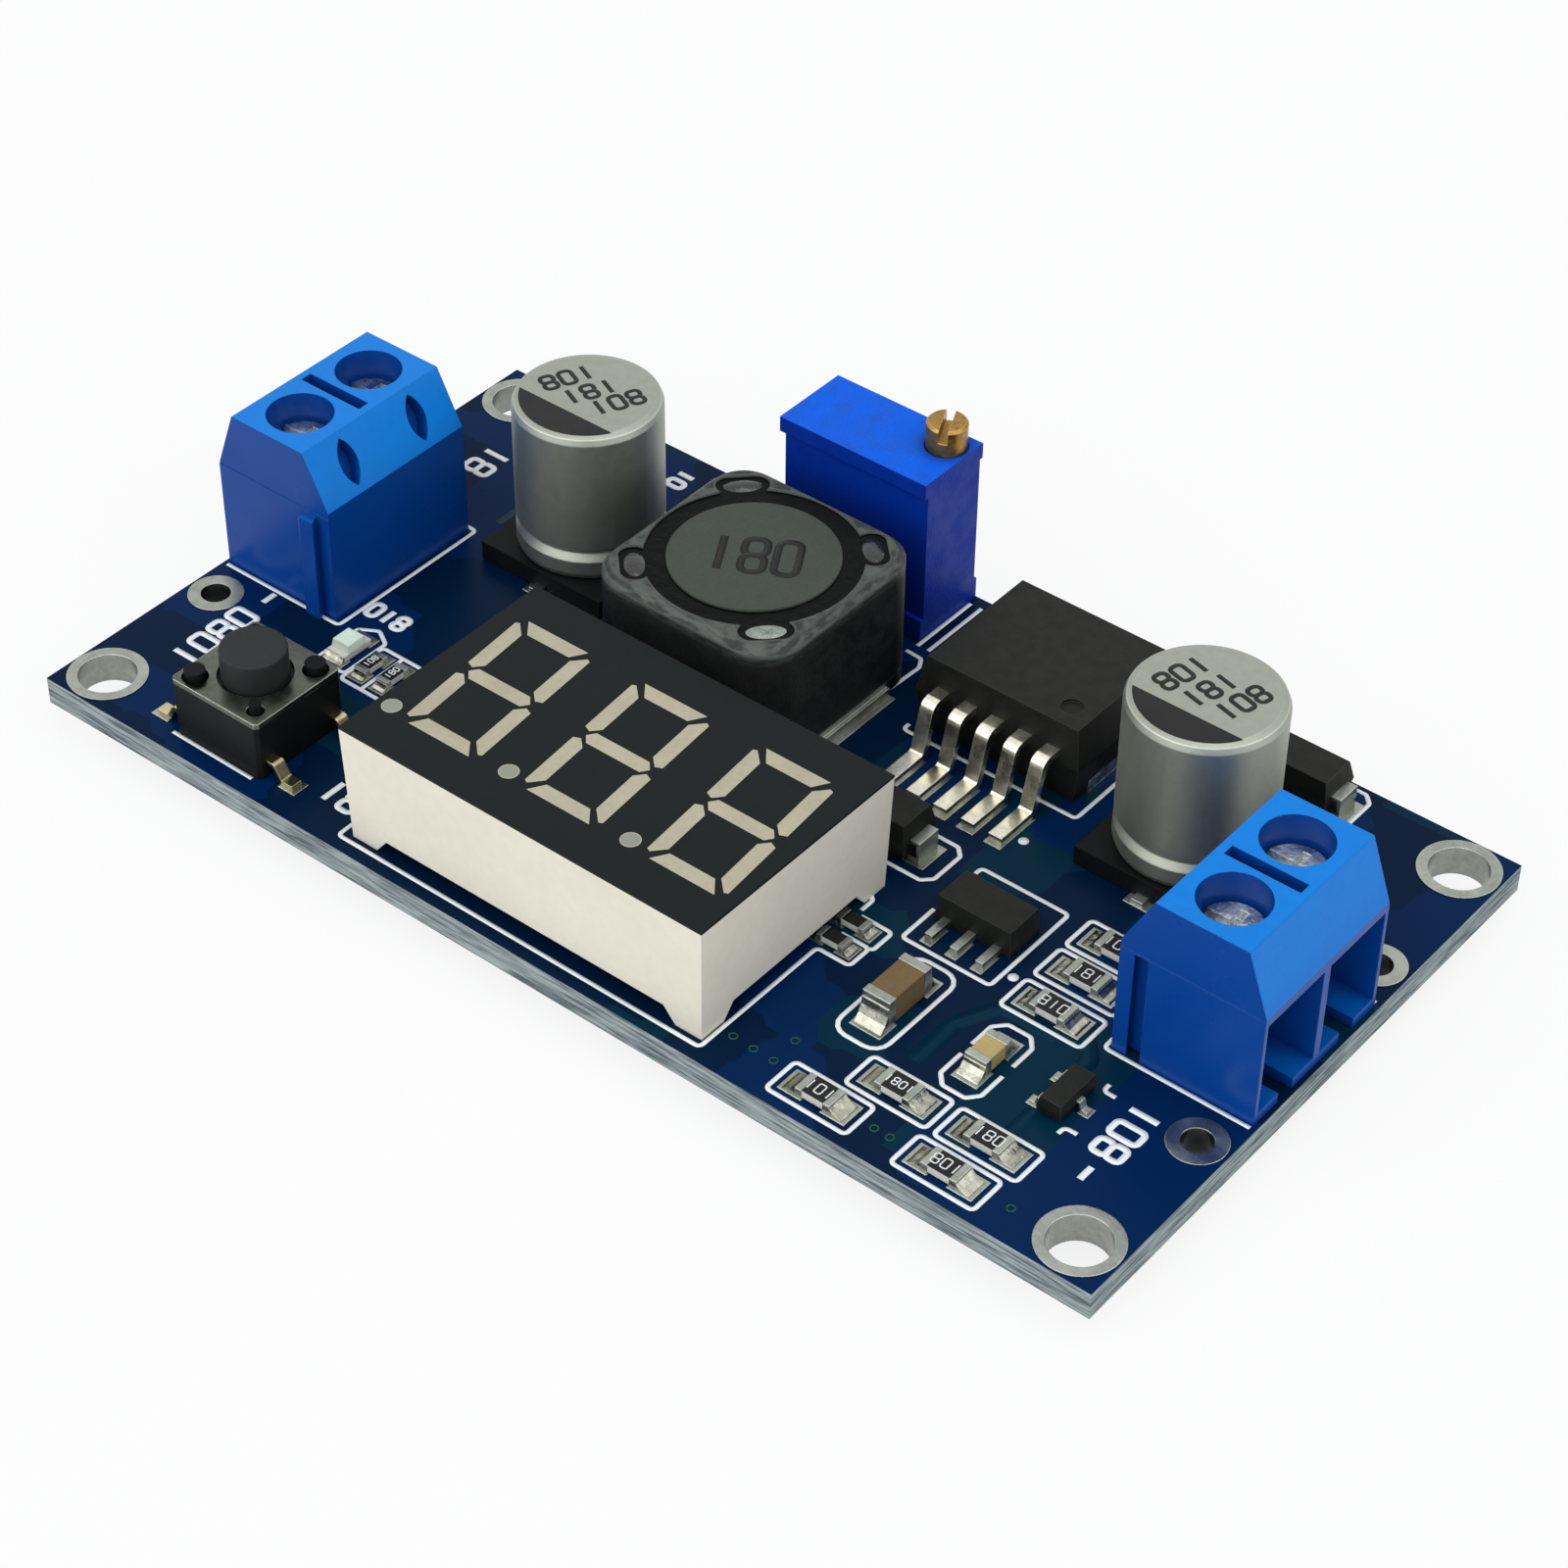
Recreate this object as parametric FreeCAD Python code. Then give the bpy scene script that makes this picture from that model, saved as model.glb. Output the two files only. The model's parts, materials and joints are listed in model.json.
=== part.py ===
import FreeCAD
import Part
import math
import os

# A step-down converter module: a printed circuit board with screw terminals at both
# ends, two smoothing capacitors, a shielded power inductor, a switching regulator, a
# trimmer, a push button and a three digit display.
# Millimetres, +Z up. The layout is dimensioned from the board's front left corner and
# the top face, and each finished piece is then moved so that the origin is the middle
# of the four mounting holes, on the underside of the board. The input end is +X.

# Board, its plated holes and its solder
BOARD_L = 66.0
BOARD_W = 36.0
BOARD_T = 1.6
MOUNT_INSET = 2.2
MOUNT_HOLE_R = 1.55
MOUNT_RING_R = 2.12
WIRE_HOLE_INSET = 1.65
WIRE_HOLE_SPACING = 15.0
WIRE_HOLE_R = 0.8
WIRE_RING_R = 1.5
HOLE_WALL = 0.2
RING_T = 0.05
PAD_T = 0.05
PIN_TAIL = 1.5
PIN_HOLE_GAP = 0.05
SOLDER_DEPTH = 1.0
SOLDER_COLLAR = 0.45
SOLDER_NECK = 0.12
SOLDER_SIDES = 12

# Screw terminals: two ways each, wires enter from the board's end
WAY_PITCH = 5.08
TERMINAL_D = 7.9
TERMINAL_H = 10.0
TERMINAL_EDGE_GAP = 0.25
INNER_SLOPE_RUN = 1.6
INNER_SLOPE_DROP = 3.1
OUTER_SLOPE_RUN = 1.25
OUTER_SLOPE_DROP = 3.4
SIDE_STEP_Z = 6.5
SIDE_STEP = 0.04
CHAMBER_W = 4.55
CHAMBER_FLOOR = 0.6
CHAMBER_CEILING = 6.1
REAR_WALL = 2.0
FLOOR_SLOT_W = 1.2
SCREW_FROM_REAR = 2.15
SCREW_WELL_R = 1.78
SCREW_LEDGE_Z = 6.9
SCREW_HEAD_R = 1.68
SCREW_HEAD_H = 1.5
SCREW_SLOT_W = 0.5
SCREW_SLOT_DEPTH = 0.55
SCREW_CROSS_L = 2.2
SCREW_SHANK_R = 1.3
SHANK_HOLE_GAP = 0.25
CAGE_L = 2.6
CAGE_SIDE_GAP = 0.2
CAGE_H = 3.75
CAGE_WALL = 0.5
CAGE_TOP = 0.7
CAGE_LIFT = 0.05
THREAD_GAP = 0.05
TONGUE_T = 0.7
TONGUE_W = 2.6
TONGUE_GAP = 0.1
TERMINAL_PIN_T = 0.75
TERMINAL_PIN_W = 1.0
TOP_SLOT_L = 4.15
TOP_SLOT_W = 0.7
TOP_SLOT_DEPTH = 1.4
PROBE_SLIT_L = 2.7
PROBE_SLIT_W = 1.2
PROBE_SLIT_DEPTH = 0.9
RIB_FROM_REAR = 1.2
RIB_ROOT_W = 0.55
RIB_HEAD_W = 1.05
RIB_DEPTH = 0.5
RIB_H = 6.3
RIB_GAP = 0.1

# Three digit display
DISPLAY_L = 22.7
DISPLAY_W = 14.2
DISPLAY_H = 7.05
DISPLAY_DRAFT = 0.2
DISPLAY_GAP = 0.9
DISPLAY_FOOT = 1.6
DISPLAY_FOOT_SLOPE = 0.9
DISPLAY_CAVITY_H = 2.0
DISPLAY_WALL = 1.1
FACE_T = 0.15
SEGMENT_DEPTH = 1.2
SEGMENT_GAP = 0.02
DIGIT_PITCH = 7.6
DIGIT_SHIFT = 0.2
DIGIT_W = 4.88
DIGIT_H = 9.5
SEGMENT_W = 0.86
SEGMENT_SPACE = 0.24
DIGIT_LEAN = 0.083
BAR_MITRE = 0.7
MIDDLE_TIP = 0.9
POST_TIP = (0.45, 0.375)
POST_END_SPACES = (0.25, 1.6, 0.8)
POINT_R = 0.52
POINT_OFFSET = 3.06
DISPLAY_BOARD_T = 0.8
DISPLAY_ROW_INSET = 2.02
PIN_PITCH = 2.54
DISPLAY_BACK_PINS = 6
DISPLAY_FRONT_PINS = 5
DISPLAY_PIN_W = 0.5

# Smoothing capacitors
CAN_R = 4.0
CAN_H = 9.1
CAN_RIM_R = 0.45
CAN_FOOT_R = 0.4
CAN_BEAD_Z = 1.6
CAN_BEAD_R = 0.4
CAN_BEAD_DEPTH = 0.28
CAP_BASE_W = 8.3
CAP_BASE_H = 1.1
CAP_BASE_CHAMFER = 1.5
CAP_LEAD_W = 0.7
CAP_LEAD_T = 0.25
CAP_LEAD_FROM = 1.55
CAP_LEAD_OUT = 0.55
OUTPUT_CAP_Y = 25.9

# Shielded power inductor
INDUCTOR_W = 12.2
INDUCTOR_H = 8.0
INDUCTOR_CORNER_R = 2.3
INDUCTOR_RIM = 0.45
SHIELD_BORE_R = 5.62
CORE_R = 4.45
CORE_FLANGE_T = 1.3
CORE_SPINDLE_R = 2.4
INDUCTOR_BASE_T = 0.9
GLUE_TOP_GAP = 0.12
GLUE_T = 0.8
POCKET_L = 2.8
POCKET_W = 1.5
POCKET_OUT = 6.03
POCKET_DEPTH = 0.6
WINDING_GAP = 0.15
CLIP_W = 6.6
CLIP_T = 0.2
CLIP_H = 0.6
CLIP_UNDER = 2.6

# Trimmer
TRIMMER_FROM_INDUCTOR = -0.1
TRIMMER_L = 9.5
TRIMMER_W = 4.83
TRIMMER_H = 10.0
TRIMMER_CAP_H = 0.9
TRIMMER_CAP_STEP = 0.22
TRIMMER_FOOT_H = 0.9
TRIMMER_STANDOFF = 0.4
TRIMMER_STANDOFF_L = 1.2
TRIMMER_SCREW_R = 1.1
TRIMMER_SCREW_OUT = 1.55
TRIMMER_SCREW_FROM_END = 1.35
TRIMMER_SCREW_FROM_BACK = 1.35
TRIMMER_SCREW_DEPTH = 2.5
TRIMMER_SCREW_GAP = 0.05
TRIMMER_SLOT_W = 0.5
TRIMMER_SLOT_DEPTH = 0.75
TRIMMER_SLOT_ANGLE = 115.0
TRIMMER_PIN_W = 0.5

# Switching regulator
REGULATOR_W = 10.1
REGULATOR_D = 8.8
REGULATOR_H = 4.65
REGULATOR_PARTING_Z = 2.5
REGULATOR_DRAFT = 0.42
REGULATOR_DIMPLE_R = 0.6
REGULATOR_DIMPLE_DEPTH = 0.15
REGULATOR_DIMPLE_INSET = 1.35
TAB_T = 1.27
TAB_W = 9.4
TAB_OUT = 1.3
TAB_UNDER = 7.2
REGULATOR_LEADS = 5
LEAD_PITCH = 1.7
LEAD_W = 0.8
LEAD_T = 0.45
LEAD_EXIT_Z = 3.0
LEAD_RUN = 0.95
LEAD_KNEE = 1.75
LEAD_REACH = 4.45
LEAD_BEND = 0.25

# Push button
BUTTON_Y = 4.25
BUTTON_W = 6.0
BUTTON_H = 3.5
BUTTON_COVER_T = 0.3
BUTTON_CORNER = 0.2
BUTTON_CUT_FROM = 3.0
BIG_PEG = (0.55, 0.45)
SMALL_PEG = (0.32, 0.5)
PEG_GAP = 0.15
PLUNGER_R = 1.75
PLUNGER_TOP = 5.2
PLUNGER_HOLE_GAP = 0.2
PLUNGER_FLANGE_R = 2.3
PLUNGER_FLANGE_T = 0.6
PLUNGER_PLAY = 0.05
PLUNGER_EDGE_R = 0.15
BUTTON_WELL_R = 2.5
DOME_R = 2.1
DOME_H = 0.6
DOME_T = 0.1
DOME_GAP = 0.02
BUTTON_LEAD_SPACING = 4.5
BUTTON_LEAD_W = 0.7
BUTTON_LEAD_T = 0.25
BUTTON_LEAD_BEND = 0.1
BUTTON_LEAD_Z = 0.95
BUTTON_LEAD_REACH = 1.75

# Diodes, each with a terminal folded under either end
DIODE_L = 4.3
DIODE_W = 2.6
DIODE_H = 2.2
DIODE_DRAFT = 0.22
DIODE_STAND = 0.15
DIODE_TERMINAL_W = 1.5
DIODE_TERMINAL_T = 0.2
DIODE_TERMINAL_Z = 1.15
DIODE_TERMINAL_REACH = 0.45
DIODE_TERMINAL_UNDER = 0.75
INPUT_DIODE_FROM_RIGHT = 11.4
INPUT_DIODE_FROM_BACK = 2.2

# Small moulded chips
SUPPLY_CHIP_AT = (2.25, 15.9)
SUPPLY_W = 4.5
SUPPLY_D = 2.45
SUPPLY_H = 1.5
SUPPLY_LEAD_W = 0.45
SUPPLY_LEAD_T = 0.38
SUPPLY_LEAD_REACH = 1.45
SUPPLY_TAB_REACH = 0.45
SUPPLY_TAB_W = 1.7
SUPPLY_PITCH = 1.5
TRANSISTOR_AT = (12.1, 8.8)
TRANSISTOR_L = 2.9
TRANSISTOR_W = 1.35
TRANSISTOR_H = 1.0
TRANSISTOR_PITCH = 1.9
TRANSISTOR_LEAD_W = 0.42
TRANSISTOR_LEAD_T = 0.13
TRANSISTOR_REACH = 0.6
DRIVER_L = 6.5
DRIVER_W = 4.4
DRIVER_H = 0.95
DRIVER_LEADS_A_SIDE = 10
DRIVER_PITCH = 0.65
DRIVER_LEAD_W = 0.24
DRIVER_LEAD_T = 0.13
DRIVER_REACH = 1.0
CHIP_DRAFT = 0.1
CHIP_STAND = 0.08
LEAD_FOOT_SHARE = 0.45

# Chip resistors and ceramic capacitors: length, width, height and end cap length
SIZE_SMALL = (1.6, 0.8, 0.45, 0.3)
SIZE_MEDIUM = (2.0, 1.25, 0.5, 0.38)
SIZE_BIG_CERAMIC = (3.2, 1.6, 1.6, 0.5)
SIZE_SMALL_CERAMIC = (2.0, 1.25, 0.9, 0.42)
END_CAP_T = 0.04
COATING_T = 0.06
PAD_OUT_SMALL = 0.5
PAD_OUT_MEDIUM = 0.95
PAD_OUT_CERAMIC = 0.85
PAD_SIDE = 0.12
BUTTON_PAD_SIDE = 0.18
DIODE_PAD_SIDE = 0.24
CAP_PAD_SIDE = 0.36
CAP_PAD_UNDER = 2.77
PAD_UNDER = 0.45
FILLET_SHARE = 0.8
FILLET_SLOPE = ((0.45, 0.28), (0.15, 0.62))
MEDIUM_RESISTORS_AT = ((3.3, 1.8), (5.85, 4.4), (11.0, 4.35), (10.55, 1.75),
                       (8.25, 13.05), (8.25, 15.75), (8.25, 18.3))
INDICATOR_RESISTORS_AT = ((4.15, 11.2), (5.65, 11.2))
DISPLAY_SIDE_PARTS_OUT = 0.45
DISPLAY_SIDE_PARTS_Y = (10.25, 11.8)
BIG_CERAMIC_AT = (2.2, 8.9)
SMALL_CERAMIC_AT = (7.75, 8.6)

# Indicator lamp
INDICATOR_AT = (2.2, 11.6)
INDICATOR_L = 2.0
INDICATOR_W = 1.25
INDICATOR_BASE_T = 0.35
INDICATOR_LENS_H = 0.45
INDICATOR_LENS_L = 1.3
INDICATOR_LENS_DRAFT = 0.08
INDICATOR_CAP_L = 0.3

# Room between neighbours along each row and column, shared out again on another board size
BACK_ROW_GAPS = (2.25, 3.05, 2.4, 2.15, 0.55)
FRONT_ROW_GAPS = (3.35, 4.45, 3.05, 1.45)
MIDDLE_COLUMN_GAPS = (1.0, 1.8, 1.885, 0.085)
REGULATOR_COLUMN_GAPS = (1.5, 1.43, 0.6)
INPUT_CAP_GAPS = (2.435, 1.38)
CATCH_DIODE_GAPS = (2.85, 2.5)
SMALL_PARTS_L = 10.2

TOP = BOARD_T
SMD_TOP = BOARD_T + PAD_T
REACH = 50.0
CLOSE = 1e-6
CORNER_ANGLES = (45, 135, 225, 315)


def box(x0, x1, y0, y1, z0, z1):
    return Part.makeBox(x1 - x0, y1 - y0, z1 - z0, FreeCAD.Vector(x0, y0, z0))


def block(x, y, length, width, z0, z1):
    """A box centred on x, y."""
    return box(x - length / 2, x + length / 2, y - width / 2, y + width / 2, z0, z1)


def cylinder(radius, x, y, z0, z1):
    return Part.makeCylinder(radius, z1 - z0, FreeCAD.Vector(x, y, z0))


def polygon_face(points):
    return Part.Face(Part.makePolygon(points + [points[0]]))


def prism_z(points, z0, z1):
    """A plan outline of (x, y) points, extruded upwards."""
    face = polygon_face([FreeCAD.Vector(x, y, z0) for x, y in points])
    return face.extrude(FreeCAD.Vector(0, 0, z1 - z0))


def prism_y(points, y0, y1):
    """A side outline of (x, z) points, extruded along Y."""
    face = polygon_face([FreeCAD.Vector(x, y0, z) for x, z in points])
    return face.extrude(FreeCAD.Vector(0, y1 - y0, 0))


def revolve(points):
    """An outline of (radius, z) points, turned about the Z axis."""
    face = polygon_face([FreeCAD.Vector(r, 0, z) for r, z in points])
    return face.revolve(FreeCAD.Vector(0, 0, 0), FreeCAD.Vector(0, 0, 1), 360)


def placed(shape, x=0.0, y=0.0, z=0.0, turn=0.0):
    """A copy turned about Z and then moved."""
    copy = shape.copy()
    copy.rotate(FreeCAD.Vector(0, 0, 0), FreeCAD.Vector(0, 0, 1), turn)
    copy.translate(FreeCAD.Vector(x, y, z))
    return copy


def tapered_block(length, width, z0, z1, draft):
    """A block whose top is smaller than its bottom by draft on every side."""
    wires = []
    for z, inset in ((z0, 0.0), (z1, draft)):
        x, y = length / 2 - inset, width / 2 - inset
        corners = [FreeCAD.Vector(sx * x, sy * y, z) for sx, sy in ((-1, -1), (1, -1), (1, 1), (-1, 1))]
        wires.append(Part.makePolygon(corners + [corners[0]]))
    return Part.makeLoft(wires, True, True)


def moulded_block(length, width, z0, parting, z1, draft):
    """A moulded body that is widest at its parting line."""
    upper = tapered_block(length, width, parting, z1, draft)
    share = draft * (parting - z0) / (z1 - parting)
    lower = tapered_block(length, width, 0, parting - z0, share)
    lower.rotate(FreeCAD.Vector(0, 0, 0), FreeCAD.Vector(1, 0, 0), 180)
    lower.translate(FreeCAD.Vector(0, 0, parting))
    return upper.fuse(lower).removeSplitter()


def strip(path, thickness):
    """The outline of a bent strip, from the points along its middle."""
    normals = []
    for (x0, z0), (x1, z1) in zip(path, path[1:]):
        length = math.hypot(x1 - x0, z1 - z0)
        normals.append((-(z1 - z0) / length, (x1 - x0) / length))
    left, right = [], []
    for index, (x, z) in enumerate(path):
        before = normals[max(index - 1, 0)]
        after = normals[min(index, len(normals) - 1)]
        scale = thickness / 2 / (1 + before[0] * after[0] + before[1] * after[1])
        dx, dz = (before[0] + after[0]) * scale, (before[1] + after[1]) * scale
        left.append((x + dx, z + dz))
        right.append((x - dx, z - dz))
    return left + right[::-1]


def upright_edges(shape, height):
    return [e for e in shape.Edges if abs(e.BoundBox.ZLength - height) < CLOSE]


def top_edges(shape, z):
    return [e for e in shape.Edges if e.BoundBox.ZMin > z - CLOSE]


def rounded_plate(width, radius, z0, z1):
    """A square plate with rounded upright corners, centred on the origin."""
    plate = block(0, 0, width, width, z0, z1)
    return plate.makeFillet(radius, upright_edges(plate, z1 - z0))


def corner_edges(shape, corners):
    """The edges along Y that pass through the given (x, z) corners."""
    chosen = []
    for edge in shape.Edges:
        start, end = edge.Vertexes[0].Point, edge.Vertexes[-1].Point
        along_y = math.hypot(start.x - end.x, start.z - end.z) < CLOSE
        if along_y and any(math.hypot(start.x - x, start.z - z) < CLOSE for x, z in corners):
            chosen.append(edge)
    return chosen


def gull_lead(exit_z, run, knee, reach, thickness, width, embed, bend=0.0):
    """A lead that leaves a body at x = 0 and steps down to a foot at z = 0.

    Its two bends are rounded when bend, their inner radius, is given.
    """
    mid = thickness / 2
    path = [(-embed, exit_z), (run, exit_z), (knee, mid), (reach, mid)]
    outline = strip(path, thickness)
    lead = prism_y(outline, -width / 2, width / 2)
    if bend:
        upper, lower = outline[:len(path)], outline[len(path):][::-1]
        lead = lead.makeFillet(bend + thickness, corner_edges(lead, [upper[1], lower[2]]))
        lead = lead.makeFillet(bend, corner_edges(lead, [lower[1], upper[2]]))
    return lead


# Where the pieces stand. The places of the small parts count from the left end of their
# field and those of the lamp and its resistors from the output terminal, both in x, and
# all of them from the front edge of the board in y.

def row(start, end, widths, gaps):
    """The middles of pieces between start and end, with the spare room shared out like gaps."""
    share = (end - start - sum(widths)) / sum(gaps)
    middles = []
    edge = start
    for width, gap in zip(widths, gaps):
        middles.append(edge + gap * share + width / 2)
        edge += gap * share + width
    return middles


def from_x(start, places):
    return tuple((start + x, y) for x, y in places)


TERMINAL_Y = BOARD_W / 2
OUTPUT_REAR_X = TERMINAL_EDGE_GAP + TERMINAL_D
INPUT_REAR_X = BOARD_L - TERMINAL_EDGE_GAP - TERMINAL_D
OUTPUT_CAP_X, INDUCTOR_X, REGULATOR_X, INPUT_CAP_X = row(
    OUTPUT_REAR_X, INPUT_REAR_X, (CAP_BASE_W, INDUCTOR_W + 2 * CLIP_T, REGULATOR_W, CAP_BASE_W),
    BACK_ROW_GAPS)
BUTTON_X, DISPLAY_X, SMALL_PARTS_X = row(
    WIRE_HOLE_INSET + WIRE_RING_R, INPUT_REAR_X,
    (BUTTON_W + 2 * BUTTON_LEAD_REACH, DISPLAY_L, SMALL_PARTS_L), FRONT_ROW_GAPS)
DISPLAY_Y, INDUCTOR_Y, TRIMMER_Y = row(
    0, BOARD_W, (DISPLAY_W, INDUCTOR_W, TRIMMER_W), MIDDLE_COLUMN_GAPS)
TRIMMER_X = INDUCTOR_X + TRIMMER_FROM_INDUCTOR
REGULATOR_FRONT = REGULATOR_D / 2 + LEAD_REACH + PAD_SIDE
REGULATOR_BACK = REGULATOR_D / 2 + TAB_OUT
CATCH_DIODE_Y, REGULATOR_MIDDLE = row(
    DISPLAY_Y + DISPLAY_W / 2, BOARD_W, (DIODE_W, REGULATOR_FRONT + REGULATOR_BACK),
    REGULATOR_COLUMN_GAPS)
REGULATOR_Y = REGULATOR_MIDDLE + (REGULATOR_FRONT - REGULATOR_BACK) / 2
FIELD_LEFT = SMALL_PARTS_X - SMALL_PARTS_L / 2
DIODE_PADS_L = DIODE_L + 2 * (DIODE_TERMINAL_REACH + PAD_OUT_SMALL)
CATCH_DIODE_X, = row(INDUCTOR_X + INDUCTOR_W / 2 + PAD_OUT_SMALL, FIELD_LEFT, (DIODE_PADS_L,),
                     CATCH_DIODE_GAPS)
CATCH_DIODE = (CATCH_DIODE_X, CATCH_DIODE_Y)
INPUT_DIODE = (BOARD_L - INPUT_DIODE_FROM_RIGHT, BOARD_W - INPUT_DIODE_FROM_BACK)
MEDIUM_RESISTORS = from_x(FIELD_LEFT, MEDIUM_RESISTORS_AT)
SUPPLY_CHIP, TRANSISTOR, BIG_CERAMIC, SMALL_CERAMIC = from_x(
    FIELD_LEFT, (SUPPLY_CHIP_AT, TRANSISTOR_AT, BIG_CERAMIC_AT, SMALL_CERAMIC_AT))
INDICATOR, *INDICATOR_RESISTORS = from_x(OUTPUT_REAR_X, (INDICATOR_AT, *INDICATOR_RESISTORS_AT))
LAST_RESISTOR_BACK = MEDIUM_RESISTORS[-1][1] + SIZE_MEDIUM[1] / 2 + PAD_SIDE
INPUT_CAP_Y, = row(LAST_RESISTOR_BACK, INPUT_DIODE[1] - DIODE_W / 2,
                   (CAP_BASE_W + 2 * (CAP_LEAD_OUT + PAD_SIDE),), INPUT_CAP_GAPS)
INPUT_CAP = (INPUT_CAP_X, INPUT_CAP_Y)
OUTPUT_CAP = (OUTPUT_CAP_X, OUTPUT_CAP_Y)


# The circuit board

def mount_points():
    return [(x, y) for x in (MOUNT_INSET, BOARD_L - MOUNT_INSET)
            for y in (MOUNT_INSET, BOARD_W - MOUNT_INSET)]


def wire_points():
    return [(x, BOARD_W / 2 + side * WIRE_HOLE_SPACING / 2)
            for x in (WIRE_HOLE_INSET, BOARD_L - WIRE_HOLE_INSET) for side in (-1, 1)]


def display_pin_points():
    points = []
    for count, side in ((DISPLAY_FRONT_PINS, -1), (DISPLAY_BACK_PINS, 1)):
        for index in range(count):
            x = DISPLAY_X + (index - (DISPLAY_BACK_PINS - 1) / 2) * PIN_PITCH
            points.append((x, DISPLAY_Y + side * (DISPLAY_W / 2 - DISPLAY_ROW_INSET)))
    return points


def trimmer_pin_points():
    return [(TRIMMER_X + step * PIN_PITCH, TRIMMER_Y) for step in (-1, 0, 1)]


def terminal_pin_points():
    """Where the four terminal pins go through the board."""
    local = [(REAR_WALL + TERMINAL_PIN_T / 2, side * WAY_PITCH / 2) for side in (-1, 1)]
    right = [(INPUT_REAR_X + u, TERMINAL_Y + v) for u, v in local]
    left = [(OUTPUT_REAR_X - u, TERMINAL_Y - v) for u, v in local]
    return right + left


def square_pin_hole_r(width, depth):
    """The hole that a square pin just passes through, with the usual clearance."""
    return math.hypot(width, depth) / 2 + PIN_HOLE_GAP


def circuit_board():
    board = box(0, BOARD_L, 0, BOARD_W, 0, BOARD_T)
    holes = [(x, y, MOUNT_HOLE_R + HOLE_WALL) for x, y in mount_points()]
    holes += [(x, y, WIRE_HOLE_R + HOLE_WALL) for x, y in wire_points()]
    thin = square_pin_hole_r(DISPLAY_PIN_W, DISPLAY_PIN_W)
    holes += [(x, y, thin) for x, y in display_pin_points()]
    thin = square_pin_hole_r(TRIMMER_PIN_W, TRIMMER_PIN_W)
    holes += [(x, y, thin) for x, y in trimmer_pin_points()]
    thick = square_pin_hole_r(TERMINAL_PIN_T, TERMINAL_PIN_W)
    holes += [(x, y, thick) for x, y in terminal_pin_points()]
    drills = [cylinder(r, x, y, -1, BOARD_T + 1) for x, y, r in holes]
    return [board.cut(Part.makeCompound(drills))]


def plated_hole(x, y, hole_r, ring_r):
    """A copper sleeve with a ring on each face of the board."""
    sleeve = cylinder(hole_r + HOLE_WALL, x, y, -RING_T, BOARD_T + RING_T)
    for z in (-RING_T, BOARD_T):
        sleeve = sleeve.fuse(cylinder(ring_r, x, y, z, z + RING_T))
    return sleeve.removeSplitter().cut(cylinder(hole_r, x, y, -1, BOARD_T + 1))


def hole_plating():
    rings = [plated_hole(x, y, MOUNT_HOLE_R, MOUNT_RING_R) for x, y in mount_points()]
    return rings + [plated_hole(x, y, WIRE_HOLE_R, WIRE_RING_R) for x, y in wire_points()]


def many_sided(radius, z, sides):
    """A closed outline with corners at equal turns on a circle."""
    turns = [2 * math.pi * index / sides for index in range(sides)]
    corners = [FreeCAD.Vector(radius * math.cos(turn), radius * math.sin(turn), z) for turn in turns]
    return Part.makePolygon(corners + [corners[0]])


def solder_joint(x, y, pin_x, pin_y):
    """The cone of solder round a pin that comes out of the underside, with a few flat sides."""
    pin_r = math.hypot(pin_x, pin_y) / 2
    foot = many_sided(pin_r + SOLDER_COLLAR, 0, SOLDER_SIDES)
    neck = many_sided(pin_r + SOLDER_NECK, -SOLDER_DEPTH, SOLDER_SIDES)
    cone = Part.makeLoft([foot, neck], True, True)
    return placed(cone.cut(block(0, 0, pin_x, pin_y, -REACH, REACH)), x, y)


def pin_solder_joints():
    joints = [solder_joint(x, y, DISPLAY_PIN_W, DISPLAY_PIN_W) for x, y in display_pin_points()]
    joints += [solder_joint(x, y, TRIMMER_PIN_W, TRIMMER_PIN_W) for x, y in trimmer_pin_points()]
    joints += [solder_joint(x, y, TERMINAL_PIN_T, TERMINAL_PIN_W) for x, y in terminal_pin_points()]
    return joints


# Screw terminals, in their own frame: u out towards the wires, v across, w up

def terminal_width():
    return 2 * WAY_PITCH


def screw_u():
    return REAR_WALL + SCREW_FROM_REAR


def probe_slit(v):
    """A lens shaped slit in the sloping rear face."""
    length = math.hypot(INNER_SLOPE_RUN, INNER_SLOPE_DROP)
    along = FreeCAD.Vector(INNER_SLOPE_RUN / length, 0, INNER_SLOPE_DROP / length)
    inward = FreeCAD.Vector(along.z, 0, -along.x)
    middle = FreeCAD.Vector(INNER_SLOPE_RUN / 2, v, TERMINAL_H - INNER_SLOPE_DROP / 2) - inward
    low = middle - along * (PROBE_SLIT_L / 2)
    high = middle + along * (PROBE_SLIT_L / 2)
    sideways = FreeCAD.Vector(0, PROBE_SLIT_W / 2, 0)
    outline = Part.Wire([Part.Arc(low, middle + sideways, high).toShape(),
                         Part.Arc(high, middle - sideways, low).toShape()])
    return Part.Face(outline).extrude(inward * (1 + PROBE_SLIT_DEPTH))


def dovetail(side_v, outwards, spread):
    """A dovetail in plan on the side wall: outwards is +1 for the rib, -1 for the groove."""
    root, head = RIB_ROOT_W / 2 + spread, RIB_HEAD_W / 2 + spread
    tip = side_v + outwards * (RIB_DEPTH + spread)
    points = [(RIB_FROM_REAR - root, side_v), (RIB_FROM_REAR + root, side_v),
              (RIB_FROM_REAR + head, tip), (RIB_FROM_REAR - head, tip)]
    return prism_z(points, 0, RIB_H + spread)


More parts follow.
